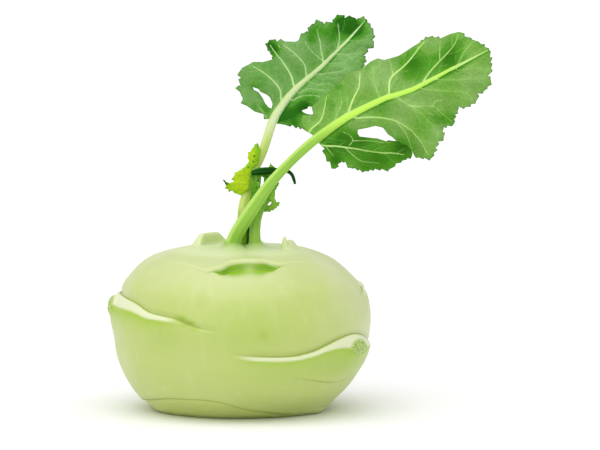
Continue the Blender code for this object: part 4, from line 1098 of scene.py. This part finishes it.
def branches_off(line, rng, gap, length, angle, width):
    """Small curved veins off both sides of a vein, in turn, leaning to its tip."""
    made = []
    walked = rng.uniform(0.3, 0.8) * gap
    side = rng.choice((-1, 1))
    for start, end in zip(line, line[1:]):
        way = end[:2] - start[:2]
        walked -= np.linalg.norm(way)
        if walked > 0:
            continue
        walked += gap * rng.uniform(0.75, 1.25)
        side = -side
        heading = math.atan2(way[1], way[0]) + side * math.radians(angle * rng.uniform(0.85, 1.15))
        spot = start[:2].copy()
        rows = [(*spot, width)]
        reach = length * rng.uniform(0.6, 1.2)
        steps = 7
        for k in range(1, steps + 1):
            heading -= side * math.radians(rng.uniform(1.0, 6.5))
            spot = spot + reach / steps * np.array([math.cos(heading), math.sin(heading)])
            rows.append((*spot, width * (1 - 0.6 * k / steps)))
        made.append(np.array(rows))
    return made


# %% From an outline to a closed, bent blade
def fill_outline(ring, holes, step):
    """Small even triangles inside a ring, with open holes."""
    ring = finely_stepped(ring, step)
    holes = [finely_stepped(hole, step) for hole in holes]
    points = list(ring)
    edges = [(k, (k + 1) % len(ring)) for k in range(len(ring))]
    for hole in holes:
        start = len(points)
        edges += [(start + k, start + (k + 1) % len(hole)) for k in range(len(hole))]
        points += hole
    low, high = np.min(ring, axis=0), np.max(ring, axis=0)
    grid = []
    for row, y in enumerate(np.arange(low[1], high[1], 0.866 * step)):
        grid += [(x, y) for x in np.arange(low[0] + (row % 2) * step / 2, high[0], step)]
    rims = [np.array([(*p, 0.0) for p in [*loop, loop[0]]]) for loop in (ring, *holes)]
    grid = np.array(grid)
    keep = inside(grid, ring) & (distance_beyond(grid, rims) > 0.6 * step)
    for hole in holes:
        keep &= ~inside(grid, hole)
    points += [tuple(p) for p in grid[keep]]
    flat = delaunay_2d_cdt([Vector(p) for p in points], edges, [], 0, 1e-6)
    spots = np.array([tuple(p) for p in flat[0]])
    triangles = np.array([face for face in flat[2] if len(face) == 3])
    middles = spots[triangles].mean(axis=1)
    good = inside(middles, ring)
    for hole in holes:
        good &= ~inside(middles, hole)
    return spots, triangles[good], rims


def closed_blade(name, spots, triangles, place, thickness, front_rise, back_rise, attributes):
    """Bends a flat sheet in space and gives it two faces and a rim. The rises push each face
    out, the front one being on the viewer's side, and thickness may change over the sheet."""
    used = np.unique(triangles)
    number = np.full(len(spots), -1)
    number[used] = np.arange(len(used))
    spots, triangles = spots[used], number[triangles]
    middle = place(*spots.T)
    nudge = 0.05
    slope_u = place(spots[:, 0] + nudge, spots[:, 1]) - place(spots[:, 0] - nudge, spots[:, 1])
    slope_v = place(spots[:, 0], spots[:, 1] + nudge) - place(spots[:, 0], spots[:, 1] - nudge)
    normal = np.cross(slope_u, slope_v)
    normal = normal / np.linalg.norm(normal, axis=1)[:, None]
    corners = middle[triangles]
    face_way = np.cross(corners[:, 1] - corners[:, 0], corners[:, 2] - corners[:, 0])
    if face_way[:, 1].sum() > 0:
        triangles = triangles[:, ::-1]
    if normal[:, 1].sum() > 0:
        normal = -normal
    half = (thickness / 2)[used, None] if np.ndim(thickness) else thickness / 2
    front = middle + normal * (half + front_rise[used, None])
    back = middle - normal * (half + back_rise[used, None])
    count = len(spots)
    sides = np.concatenate([triangles[:, [0, 1]], triangles[:, [1, 2]], triangles[:, [2, 0]]])
    known = {tuple(side) for side in sides.tolist()}
    rim = [side for side in known if (side[1], side[0]) not in known]
    faces = triangles.tolist() + (triangles[:, ::-1] + count).tolist()
    faces += [(b, a, a + count, b + count) for a, b in sorted(rim)]
    both = {key: np.tile(np.asarray(values)[used], 2) for key, values in attributes.items()}
    piece = new_piece(name, np.concatenate([front, back]), faces, both)
    layer = piece.data.uv_layers.new(name="leaf_map")
    corner_points = np.empty(len(piece.data.loops), dtype=np.int32)
    piece.data.loops.foreach_get("vertex_index", corner_points)
    layer.data.foreach_set("uv", (spots[corner_points % count] / 100.0).astype(np.float32).ravel())
    return piece


# %% Make the two big blades
BLADE_STEP = 0.46
BLADE_THICKNESS = 0.5
RIB_ROOT, RIB_TIP = 0.30, 0.10  # half of a strong rib's width
SIDE_RIB_ROOT, SIDE_RIB_TIP = 0.12, 0.04
SMALL_VEIN = 0.05
RIB_HEIGHT, SMALL_VEIN_HEIGHT = 0.42, 0.10
SUNK_RIB = 0.10
PILLOW, SMALL_PILLOW = 0.32, 0.12
CRUMPLE = 0.10


def rooted(rib, midrib):
    """The rib with a first point on the midrib's middle, so that it grows out of it."""
    along = rib[0][0] - 1.2
    return [(along, float(midrib_value(midrib, along, 1))), *rib]


def patches_on(spots, patches):
    """The sum of soft round patches, each given as (along, across, reach, amount)."""
    return sum(amount * np.exp(-((spots[:, 0] - x) ** 2 + (spots[:, 1] - y) ** 2) / reach ** 2)
               for x, y, reach, amount in patches)


def make_blade(name, margin_parts, holes, midrib, leaf_tip, ribs, side_ribs, on_leaf, seed,
               front_side, patches, tips):
    """ribs are (strength, line) and grow from the midrib; side_ribs are finer and branch off
    them. front_side is 1 where the ribs stand out to the viewer, and -1 where they are sunk."""
    ring = [p for part in margin_parts for p in part]
    spots, triangles, rims = fill_outline(ring, holes, BLADE_STEP)
    rng = random.Random(seed)
    main_lines = [tapered(rooted(rib, midrib), RIB_ROOT * strength, RIB_TIP * strength)
                  for strength, rib in ribs]
    middle_line = np.array([*midrib, (*leaf_tip, 0.08)])
    small_lines = []
    for line in main_lines:
        small_lines += branches_off(line, rng, gap=3.4, length=6.0, angle=46, width=SMALL_VEIN)
    small_lines += branches_off(middle_line, rng, gap=4.0, length=8.0, angle=60,
                                width=SMALL_VEIN)
    to_main = distance_beyond(spots, main_lines)
    to_middle = distance_beyond(spots, [middle_line])
    side_lines = [tapered(rib, SIDE_RIB_ROOT, SIDE_RIB_TIP) for rib in side_ribs]
    to_side = distance_beyond(spots, side_lines)
    to_small = distance_beyond(spots, small_lines)
    to_margin = distance_beyond(spots, rims)
    to_tip = distance_beyond(spots, [np.array([(*tip, 0.0), (*tip, 0.0)]) for tip in tips])
    to_big, to_fine = np.minimum(to_main, to_middle), np.minimum(to_small, to_side)
    vivid = np.zeros(len(spots))
    for (strength, _), line in zip(ribs, main_lines):
        here = distance_beyond(spots, [line])
        vivid = np.where(here < to_main + 1e-9, strength, vivid)
    main_ridge = hump(np.clip(to_main, 0, 9), 0.42)
    small_ridge = hump(np.clip(to_fine, 0, 9), 0.35)
    edge = ease(to_margin / 1.6)
    pillow = (ease(to_big / 2.8) * PILLOW + ease(to_fine / 1.2) * SMALL_PILLOW) * edge
    ridges = (RIB_HEIGHT * main_ridge * (0.3 + 0.7 * vivid)
              + SMALL_VEIN_HEIGHT * small_ridge) * edge
    flat_places = np.column_stack([spots, 0 * spots[:, 0]])
    crumple = CRUMPLE * soft_lumps(flat_places, 4.5, seed) * edge
    if front_side > 0:
        front_rise, back_rise = ridges - pillow + crumple, pillow - crumple
    else:
        front_rise = pillow - SUNK_RIB * main_ridge * edge + crumple
        back_rise = ridges - pillow - crumple
    thickness = BLADE_THICKNESS * (0.45 + 0.55 * ease(to_margin / 1.0))
    # A painted shadow of the midrib on the blade below it, added to the patches' painted shading.
    low_side = spots[:, 1] < midrib_value(midrib, spots[:, 0], 1)
    under_midrib = 0.7 * hump(np.clip(to_middle, 0, 9), 0.8) * low_side
    shade = patches_on(spots, patches) + under_midrib
    return closed_blade(name, spots, triangles, on_leaf, thickness, front_rise, back_rise, {
        "main_mm": np.clip(to_big, -1, 3), "small_mm": np.clip(to_small, -1, 3),
        "side_mm": np.clip(to_side, -1, 3), "vivid": np.where(to_middle < to_main, 1.0, vivid),
        "margin_mm": np.clip(to_margin, 0, 5), "shade": np.clip(shade, -1, 1),
        "tooth_tip": 0.7 * hump(to_tip, 0.5)})


def stalk_side(midrib, along):
    """Two points across the midrib, where the blade's ring closes over the stalk."""
    middle = float(midrib_value(midrib, along, 1))
    return [(along, middle - 1.2), (along, middle + 1.2)]


# Patches painted darker and, with a minus, paler, as (along, across, reach, amount): mostly
# painted shade where the blade turns from the light and painted sheen where it catches it, with
# some tone of the leaf's own
FRONT_SHADING_PATCHES = [
    (32.8, 9.8, 5.1, -0.7), (56.3, 13.8, 6.1, -0.8), (35.7, 15.3, 3.7, -0.6),
    (45.5, 9.0, 6.5, 0.9), (61.1, 8.6, 4.7, 0.6), (56.5, 5.0, 5.1, 0.75), (59.7, 0.7, 4.2, 0.4),
    (61.2, -5.5, 5.1, -0.4), (39.0, -3.1, 5.6, -0.45), (43.0, -18.1, 4.2, -0.3),
    (38.4, -11.4, 4.7, 0.25), (27.7, 0.0, 4.2, 0.3), (16.9, 14.3, 2.1, 0.4),
    (11.2, 9.9, 3.0, 0.35), (44.9, -14.2, 3.5, 0.5), (17.0, -16.5, 7.5, 0.75),
    (8.7, -6.8, 5.6, 0.7), (26.8, -18.3, 4.7, 0.8), (2.9, -9.7, 2.8, 0.8), (9.6, -2.9, 3.3, 0.6),
    (15.5, -7.1, 3.3, 0.6), (3.4, -3.5, 2.8, 0.8), (48.1, -16.4, 2.8, 0.4),
    (43.9, 14.8, 2.8, -0.5), (25.0, 12.8, 3.6, -0.5),
]
BACK_SHADING_PATCHES = [
    (45.5, 3.5, 3.9, 0.9), (47.1, -0.8, 3.2, 0.9), (40.1, 5.6, 3.5, 0.55), (45.1, 7.0, 2.8, 0.7),
    (48.5, 4.3, 2.1, 0.8), (37.1, 11.5, 3.2, 0.5), (33.3, 10.4, 2.1, 0.5), (21.7, 17.8, 2.5, 0.9),
    (22.1, 20.5, 1.8, 0.8), (27.4, 11.6, 4.2, -0.5), (44.1, -5.5, 3.5, -0.4),
    (37.1, -5.2, 4.2, -0.35), (8.3, -3.1, 3.5, 1.0), (13.3, -4.3, 2.8, 1.0),
    (4.7, -1.7, 2.1, 0.8), (6.4, -6.8, 1.8, 0.5),
    (2.3, 12.8, 2.5, -0.4), (0.9, 9.1, 1.8, 0.4), (7.8, 14.1, 2.8, 0.4), (3.5, 5.3, 2.1, 0.5),
    (9.0, 19.0, 3.5, -0.2), (20.4, 10.9, 3.2, -0.2), (33.4, 0.9, 2.5, 0.2), (17.8, -4.0, 2.8, 0.5),
]
rng = random.Random(3)
front_tips, back_tips = [], []
front_ring = [toothed(FRONT_MARGIN, FRONT_ROLLED, rng, front_tips), FRONT_SINUS,
              toothed(FRONT_LOBE, [], rng, front_tips), stalk_side(FRONT_MIDRIB, 0.6)]
front_blade = make_blade(
    "front_blade", front_ring, [], FRONT_MIDRIB, (72.0, 0.6), FRONT_RIBS, FRONT_SIDE_RIBS,
    on_front_leaf, seed=21, front_side=1, patches=FRONT_SHADING_PATCHES, tips=front_tips)
rng = random.Random(8)
back_ring = [toothed(BACK_MARGIN, BACK_ROLLED, rng, back_tips), BACK_SINUS,
             toothed(BACK_LOBE, [], rng, back_tips), stalk_side(BACK_MIDRIB, 1.6)]
back_blade = make_blade(
    "back_blade", back_ring, [BACK_HOLE], BACK_MIDRIB, (51.6, 0.2), BACK_RIBS, BACK_SIDE_RIBS,
    on_back_leaf, seed=34, front_side=-1, patches=BACK_SHADING_PATCHES, tips=back_tips)
print("blades, faces:", len(front_blade.data.polygons), len(back_blade.data.polygons))

# %% [markdown]
# ## The blades' finish
# A leaf is darker between its veins and pale along them, and its underside is greyer than its
# upper side. Patches of painted shade and painted sheen lie where the blade turns from the light
# or catches it, with a painted shadow under the midrib. The big veins are drawn from the measured
# distances, and the smallest ones are a net of cells from the shared node group, laid out on the
# leaf's own map.


# %% Blade material
def blade_skin(name, dark, rich, mid, pale, vein, tip, net_scale, margin_dark=0.35):
    """Shading goes from pale through mid and a rich green to dark; on the big blades it is painted
    shade and painted sheen, with some tone of the leaf's own.
    """
    material, tree, surface = new_material(
        name, Roughness=0.5, Subsurface_Weight=0.05, Subsurface_Scale=0.0005,
        Subsurface_Radius=(0.6, 1.0, 0.2), Specular_IOR_Level=0.12)
    leaf_map = add_node(tree, "ShaderNodeUVMap", uv_map="leaf_map").outputs[0]
    net = place_group(tree, vein_net, Place=leaf_map, Mesh_Scale=net_scale, Width=0.07)
    skin = place_group(tree, cloudy, Place=leaf_map, Cloud_Scale=9.0, Cell_Scale=260.0)
    shade, main_mm, small_mm, side_mm, margin_mm = (
        attribute(tree, key) for key in ("shade", "main_mm", "small_mm", "side_mm", "margin_mm"))
    # Painted sheen on the big blades: paler where the shading is below zero.
    bright = math_node(tree, "MAXIMUM", times(tree, shade, -1.0), 0.0)
    net_shown = times(tree, net["Veins"], fade(tree, shade, 1.0, 0.1))
    main_shown = times(tree, fade(tree, main_mm, 0.20, -0.04), attribute(tree, "vivid"))
    colour = layered(tree, mid, [
        (skin["Cloud"], 0.5, pale),
        (fade(tree, shade, 0.0, 0.5), 1, rich),
        (fade(tree, shade, 0.45, 1.0), 1, dark),
        (bright, 1, pale),
        (fade(tree, main_mm, 0.3, 2.2), 0.2, dark),
        (net_shown, 0.13, vein),
        (fade(tree, small_mm, 0.22, -0.02), 0.22, vein),
        (fade(tree, side_mm, 0.22, -0.02), 0.6, vein),
        (main_shown, 1, vein),
        (fade(tree, margin_mm, 0.35, 0.05), margin_dark, dark),
        ("tooth_tip", 1, tip),
    ])
    height = math_node(tree, "ADD", net["Pillows"], times(tree, skin["Cells"], 0.4))
    dress(tree, surface, colour, height, strength=0.35, depth=0.0003)
    vary_roughness(tree, surface, skin["Cells"], 0.42, 0.62)
    return material


front_blade.data.materials.append(blade_skin(
    "underside_skin", (0.034, 0.18, 0.003), (0.08, 0.31, 0.01), (0.16, 0.39, 0.04),
    (0.30, 0.50, 0.16), (0.56, 0.82, 0.26), (0.02, 0.10, 0.004),
    net_scale=38.0))
back_blade.data.materials.append(blade_skin(
    "upper_skin", (0.018, 0.15, 0.002), (0.07, 0.32, 0.01), (0.165, 0.41, 0.075),
    (0.26, 0.48, 0.16), (0.62, 0.86, 0.40), (0.01, 0.06, 0.003),
    net_scale=42.0))
for blade, node in ((front_blade, "front_leaf_blade"), (back_blade, "back_leaf_blade")):
    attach(blade, "root")
    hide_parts(node)

# %% [markdown]
# ## The small leaves between the stalks
# Low on the back stalk sit bright lime leaflets with dark-tipped teeth, and between the stalks
# a curled young leaf with holes. They are made as the blades are, from an outline in x and z.

# %% Small leaves: outlines as (x, z)
WING_OUTLINE = [
    (6.4, 97.2), (5.8, 98.3), (4.7, 97.2), (3.6, 95.5), (2.3, 94.5), (2.2, 92.4), (2.6, 91.1),
    (1.4, 89.6), (-0.9, 88.1), (-2.6, 87.3), (-2.8, 86.0), (-3.9, 84.8), (-2.8, 84.3),
    (-4.1, 83.7), (-5.1, 83.9), (-7.2, 85.6), (-5.9, 83.2), (-6.0, 81.4), (-4.9, 81.3),
    (-4.6, 80.2), (-3.2, 80.5), (-2.4, 79.6), (-0.1, 78.8), (1.4, 79.9), (3.1, 81.5),
    (3.4, 84.6), (3.6, 87.7), (4.6, 89.2), (6.2, 90.2), (6.5, 92.8), (7.2, 95.3),
]
YOUNG_OUTLINE = [
    (3.7, 88.6), (3.2, 86.2), (3.7, 84.6), (3.2, 82.1), (3.4, 79.4), (2.9, 76.4), (4.6, 77.0),
    (6.2, 76.6), (6.6, 74.6), (8.1, 72.9), (10.2, 72.8), (11.7, 73.5), (13.8, 75.2), (14.6, 77.0),
    (13.2, 76.6), (12.5, 77.6), (12.4, 79.1), (12.8, 81.3), (14.0, 83.4), (13.6, 86.4),
    (13.2, 88.8), (11.6, 90.0), (10.6, 91.6), (10.3, 89.8), (8.6, 89.3), (6.2, 89.4),
]
YOUNG_HOLES = [
    [(7.3, 86.0), (8.3, 85.6), (8.2, 83.6), (7.8, 81.8), (6.9, 82.1), (7.2, 84.0)],
    [(9.6, 75.7), (10.4, 76.6), (11.2, 76.7), (10.6, 75.6), (9.9, 75.3)],
]
WING_VEINS = [
    [(4.6, 81.0), (2.4, 82.6), (-1.0, 83.2), (-4.6, 83.3)],
    [(2.6, 84.6), (0.6, 86.2), (-1.4, 86.6)], [(4.4, 88.0), (4.6, 92.0), (5.6, 96.4)],
]
YOUNG_VEINS = [
    [(9.0, 80.0), (9.8, 84.0), (10.4, 88.6)], [(9.0, 79.5), (11.0, 78.0), (13.0, 76.2)],
    [(8.6, 80.5), (6.0, 84.0), (5.0, 87.4)],
]
# Dark specks on the small leaves, as (x, z, radius), and shading, as (x, z, reach, amount)
WING_SPECKS = [
    (-6.7, 84.5, 0.5), (-6.4, 84.2, 0.9), (-6.0, 83.9, 0.6), (-5.3, 83.4, 0.5),
    (-5.3, 81.6, 0.4), (-4.2, 80.4, 0.4), (-2.6, 80.0, 0.35), (4.7, 93.1, 0.35),
    (4.4, 91.1, 0.35), (7.2, 95.4, 0.35), (2.4, 94.3, 0.25), (-3.1, 85.0, 0.25),
    (2.5, 89.0, 0.3), (6.2, 97.4, 0.5),
]
WING_SHADE = [
    (6.2, 96.2, 2.2, 0.8), (6.0, 92.5, 2.0, 0.6), (3.0, 89.5, 2.0, 0.45), (2.4, 83.5, 1.6, 0.35),
    (-4.5, 83.2, 1.6, 0.4), (3.0, 93.5, 1.8, -0.6), (0.5, 86.0, 2.6, -0.5),
    (-1.0, 81.5, 2.5, -0.5),
]
YOUNG_SPECKS = [
    (6.0, 84.6, 0.4), (5.6, 81.8, 0.35), (9.5, 86.0, 0.35), (4.6, 86.9, 0.3), (14.2, 76.4, 0.4),
]
YOUNG_SHADE = [
    (4.6, 86.5, 1.8, 0.5), (10.6, 91.0, 1.4, -1.0), (4.6, 79.0, 2.4, 0.2), (11.5, 74.8, 2.6, -1.0),
    (12.6, 79.5, 2.2, -1.0), (9.5, 87.5, 2.2, 0.6),
]
SMALL_STEP = 0.3
SMALL_THICKNESS = 0.42


def on_wing(x, z):
    """Just before the back stalk, curling forward at the left."""
    stalk_front = np.interp(z, [76.5, 87.6, 95.0, 99.0], [0.7, 1.95, 3.75, 4.9])
    curl = 0.03 * np.maximum(3.0 - x, 0.0) ** 2
    ripple = 0.25 * np.sin(0.9 * z + 0.4 * x)
    return np.stack([x, stalk_front - 0.75 - curl + ripple, z], axis=-1)


def on_young(x, z):
    """Nearly flat between the stalks, with the lower lobe curled forward."""
    return np.stack([x, -1.2 + 0.05 * (x - 8.0) * (z - 82.0) / 8.0, z], axis=-1)


def small_leaf(name, outline, holes, veins, place, seed, specks, shading):
    closed = [*outline, outline[0]]
    outline = toothed(closed, [], random.Random(seed), [], pitch=1.5, depth=0.3)[:-1]
    spots, triangles, rims = fill_outline(outline, holes, SMALL_STEP)
    lines = [tapered(vein, 0.28, 0.1, spacing=0.8) for vein in veins]
    small = []
    rng = random.Random(seed)
    for line in lines:
        small += branches_off(line, rng, gap=1.8, length=3.0, angle=50, width=0.09)
    to_main = distance_beyond(spots, lines)
    to_small = distance_beyond(spots, small)
    to_margin = distance_beyond(spots, rims)
    main_ridge = hump(np.clip(to_main, 0, 9), 0.3)
    rise = (0.16 * main_ridge + 0.08 * ease(to_small / 0.8)) * ease(to_margin / 0.8)
    thickness = SMALL_THICKNESS * (0.5 + 0.5 * ease(to_margin / 0.6))
    speck = sum(np.exp(-(((spots[:, 0] - x) ** 2 + (spots[:, 1] - z) ** 2) / radius ** 2) ** 2)
                for x, z, radius in specks)
    same = np.ones(len(spots))
    return closed_blade(name, spots, triangles, place, thickness, rise, 0 * rise, {
        "main_mm": np.clip(to_main, -1, 3), "small_mm": np.clip(to_small, -1, 3),
        "side_mm": 3 * same, "vivid": 0.6 * same, "margin_mm": np.clip(to_margin, 0, 5),
        "shade": np.clip(patches_on(spots, shading), -1, 1), "tooth_tip": np.clip(speck, 0, 1)})


lime_leaflets = small_leaf("lime_leaflets", WING_OUTLINE, [], WING_VEINS, on_wing, 5,
                           WING_SPECKS, WING_SHADE)
young_blade = small_leaf("young_blade", YOUNG_OUTLINE, YOUNG_HOLES, YOUNG_VEINS, on_young, 6,
                         YOUNG_SPECKS, YOUNG_SHADE)
lime_leaflets.data.materials.append(blade_skin(
    "lime_skin", (0.13, 0.43, 0.008), (0.27, 0.54, 0.008), (0.42, 0.63, 0.008),
    (0.53, 0.69, 0.015), (0.34, 0.56, 0.03), (0.01, 0.07, 0.004),
    net_scale=60.0, margin_dark=0.0))
young_blade.data.materials.append(blade_skin(
    "young_skin", (0.03, 0.17, 0.002), (0.05, 0.24, 0.002), (0.075, 0.31, 0.003),
    (0.28, 0.54, 0.05), (0.34, 0.60, 0.10), (0.01, 0.08, 0.002),
    net_scale=60.0, margin_dark=0.2))
rolled_skin = stalk_skin(
    "rolled_skin", (0.005, 0.06, 0.002), (0.003, 0.05, 0.001), (0.03, 0.15, 0.02),
    (0.005, 0.06, 0.002), top_height=0.2, shine=0.05)
rolled_leaflet = sweep("rolled_leaflet_piece", smooth_through(ROLLED_LEAFLET, 0.7), rolled_skin,
                       Groove_Depth=0.14)
for piece, node, slot in ((lime_leaflets, "back_leaf_wing", "leaflet_lime"),
                          (young_blade, "young_leaf", "young_green"),
                          (rolled_leaflet, "rolled_leaflet", "rolled_green")):
    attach(piece, "root")
    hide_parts(node)

# %% [markdown]
# ## Hairs and fibre ends
# The feet of the back and young stalks carry short soft hairs, and each cut leaf stub shows the
# ends of its fibres as small dots. Both are tiny cones that stand on a skin, so one Geometry
# Nodes tree grows both. It scatters them where an attribute of the skin says, points each along
# the skin's normal and a little upward, and varies their size with a fixed seed.


# %% The scatter, as a Geometry Nodes tree
def sprout_tree():
    """Small cones on the piece's skin, denser where the named attribute is higher."""
    tree, given, result = new_geometry_tree("sprouts", [
        ("Where", "String", "cut"), ("Per Square Metre", "Float", 3e5),
        ("Length", "Float", 0.0006), ("Width", "Float", 0.0001), ("Upward", "Float", 0.5),
        ("Seed", "Int", 1)])
    dense = times(tree, named_value(tree, given["Where"]), given["Per Square Metre"])
    spread = add_node(tree, "GeometryNodeDistributePointsOnFaces", {
        "Mesh": given["Geometry"], "Density": dense, "Seed": given["Seed"]},
        distribute_method="RANDOM")
    upward = add_node(tree, "ShaderNodeCombineXYZ", {"Z": given["Upward"]})
    stray = add_node(tree, "FunctionNodeRandomValue", {
        0: (-0.3, -0.3, -0.3), 1: (0.3, 0.3, 0.3)}, data_type="FLOAT_VECTOR")
    way = vector_node(tree, "ADD", spread.outputs["Normal"], upward.outputs[0])
    way = vector_node(tree, "ADD", way.outputs[0], stray.outputs[0])
    turned = add_node(tree, "FunctionNodeAlignRotationToVector", {
        "Vector": way.outputs[0]}, axis="Z")
    cone = add_node(tree, "GeometryNodeMeshCone", {
        "Vertices": 6, "Radius Top": times(tree, given["Width"], 0.15),
        "Radius Bottom": times(tree, given["Width"], 0.5), "Depth": given["Length"]})
    size = add_node(tree, "FunctionNodeRandomValue", {2: 0.6, 3: 1.3}, data_type="FLOAT")
    placed = add_node(tree, "GeometryNodeInstanceOnPoints", {
        "Points": spread.outputs["Points"], "Instance": cone.outputs["Mesh"],
        "Rotation": turned.outputs[0], "Scale": size.outputs[1]})
    return finish_tree(tree, placed.outputs[0], given, result)


def sprout_skin(name, colour, paler):
    material, tree, surface = new_material(name, Roughness=0.5, Specular_IOR_Level=0.2)
    skin = place_group(tree, cloudy, Place=object_place(tree), Cloud_Scale=400.0,
                       Cell_Scale=4000.0)
    colour = mix_colour(tree, skin["Cloud"], colour, paler)
    dress(tree, surface, colour, skin["Cells"], strength=0.1, depth=0.00005)
    return material


# %% Grow the hairs and the fibre ends
SPROUTS = sprout_tree()
HAIR_LOW, HAIR_HIGH = 63.5, 80.0  # the hairs stand between these heights


def grow(name, owner, node, slot, skin, **values):
    source = add_object(name, owner.data.copy())
    made = through_nodes(source, SPROUTS, name, Skin=skin, **values)
    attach(made, "root")
    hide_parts(node)


hair_skin = sprout_skin("hair_skin", (0.60, 0.74, 0.36), (0.78, 0.86, 0.60))
fibre_skin = sprout_skin("fibre_skin", (0.48, 0.60, 0.18), (0.62, 0.72, 0.32))
for seed, owner, node, slot in ((2, back_stalk, "back_leaf_stalk", "stalk_pale"),
                                (3, young_stalk, "young_leaf", "young_green")):
    heights = np.array([vertex.co.z for vertex in owner.data.vertices]) / MM
    hairy = ease((heights - HAIR_LOW) / 2) * ease((HAIR_HIGH - heights) / 6)
    keep_on_points(owner.data, "hairy", hairy)
    grow(owner.name + "_hairs", owner, node, slot, hair_skin, Where="hairy",
         Per_Square_Metre=700000.0, Length=0.0007, Width=0.00009, Upward=0.6, Seed=seed)
grow("fibre_ends", bulb, "bulb", "bulb_skin", fibre_skin, Where="cut",
     Per_Square_Metre=600000.0, Length=0.0001, Width=0.0003, Upward=0.0, Seed=4)

# %% [markdown]
# ## The table
# The floor is part of the picture and not of the kohlrabi: a large pale sheet, so that the
# white goes on to the horizon and takes a soft shadow.


# %% Floor
FLOOR_HALF = 12000.0


def make_floor():
    material, tree, surface = new_material("white_table", Roughness=0.9)
    grain = noise(tree, object_place(tree), 3.0)
    colour = mix_colour(tree, grain, (0.93, 0.93, 0.93), (0.95, 0.95, 0.95))
    tree.links.new(colour, surface.inputs["Base Color"])
    corners = [(x * FLOOR_HALF, y * FLOOR_HALF, 0) for x, y in ((-1, -1), (1, -1), (1, 1), (-1, 1))]
    floor = new_piece("floor", corners, [(0, 1, 2, 3)], smooth=False)
    floor.data.materials.append(material)


make_floor()
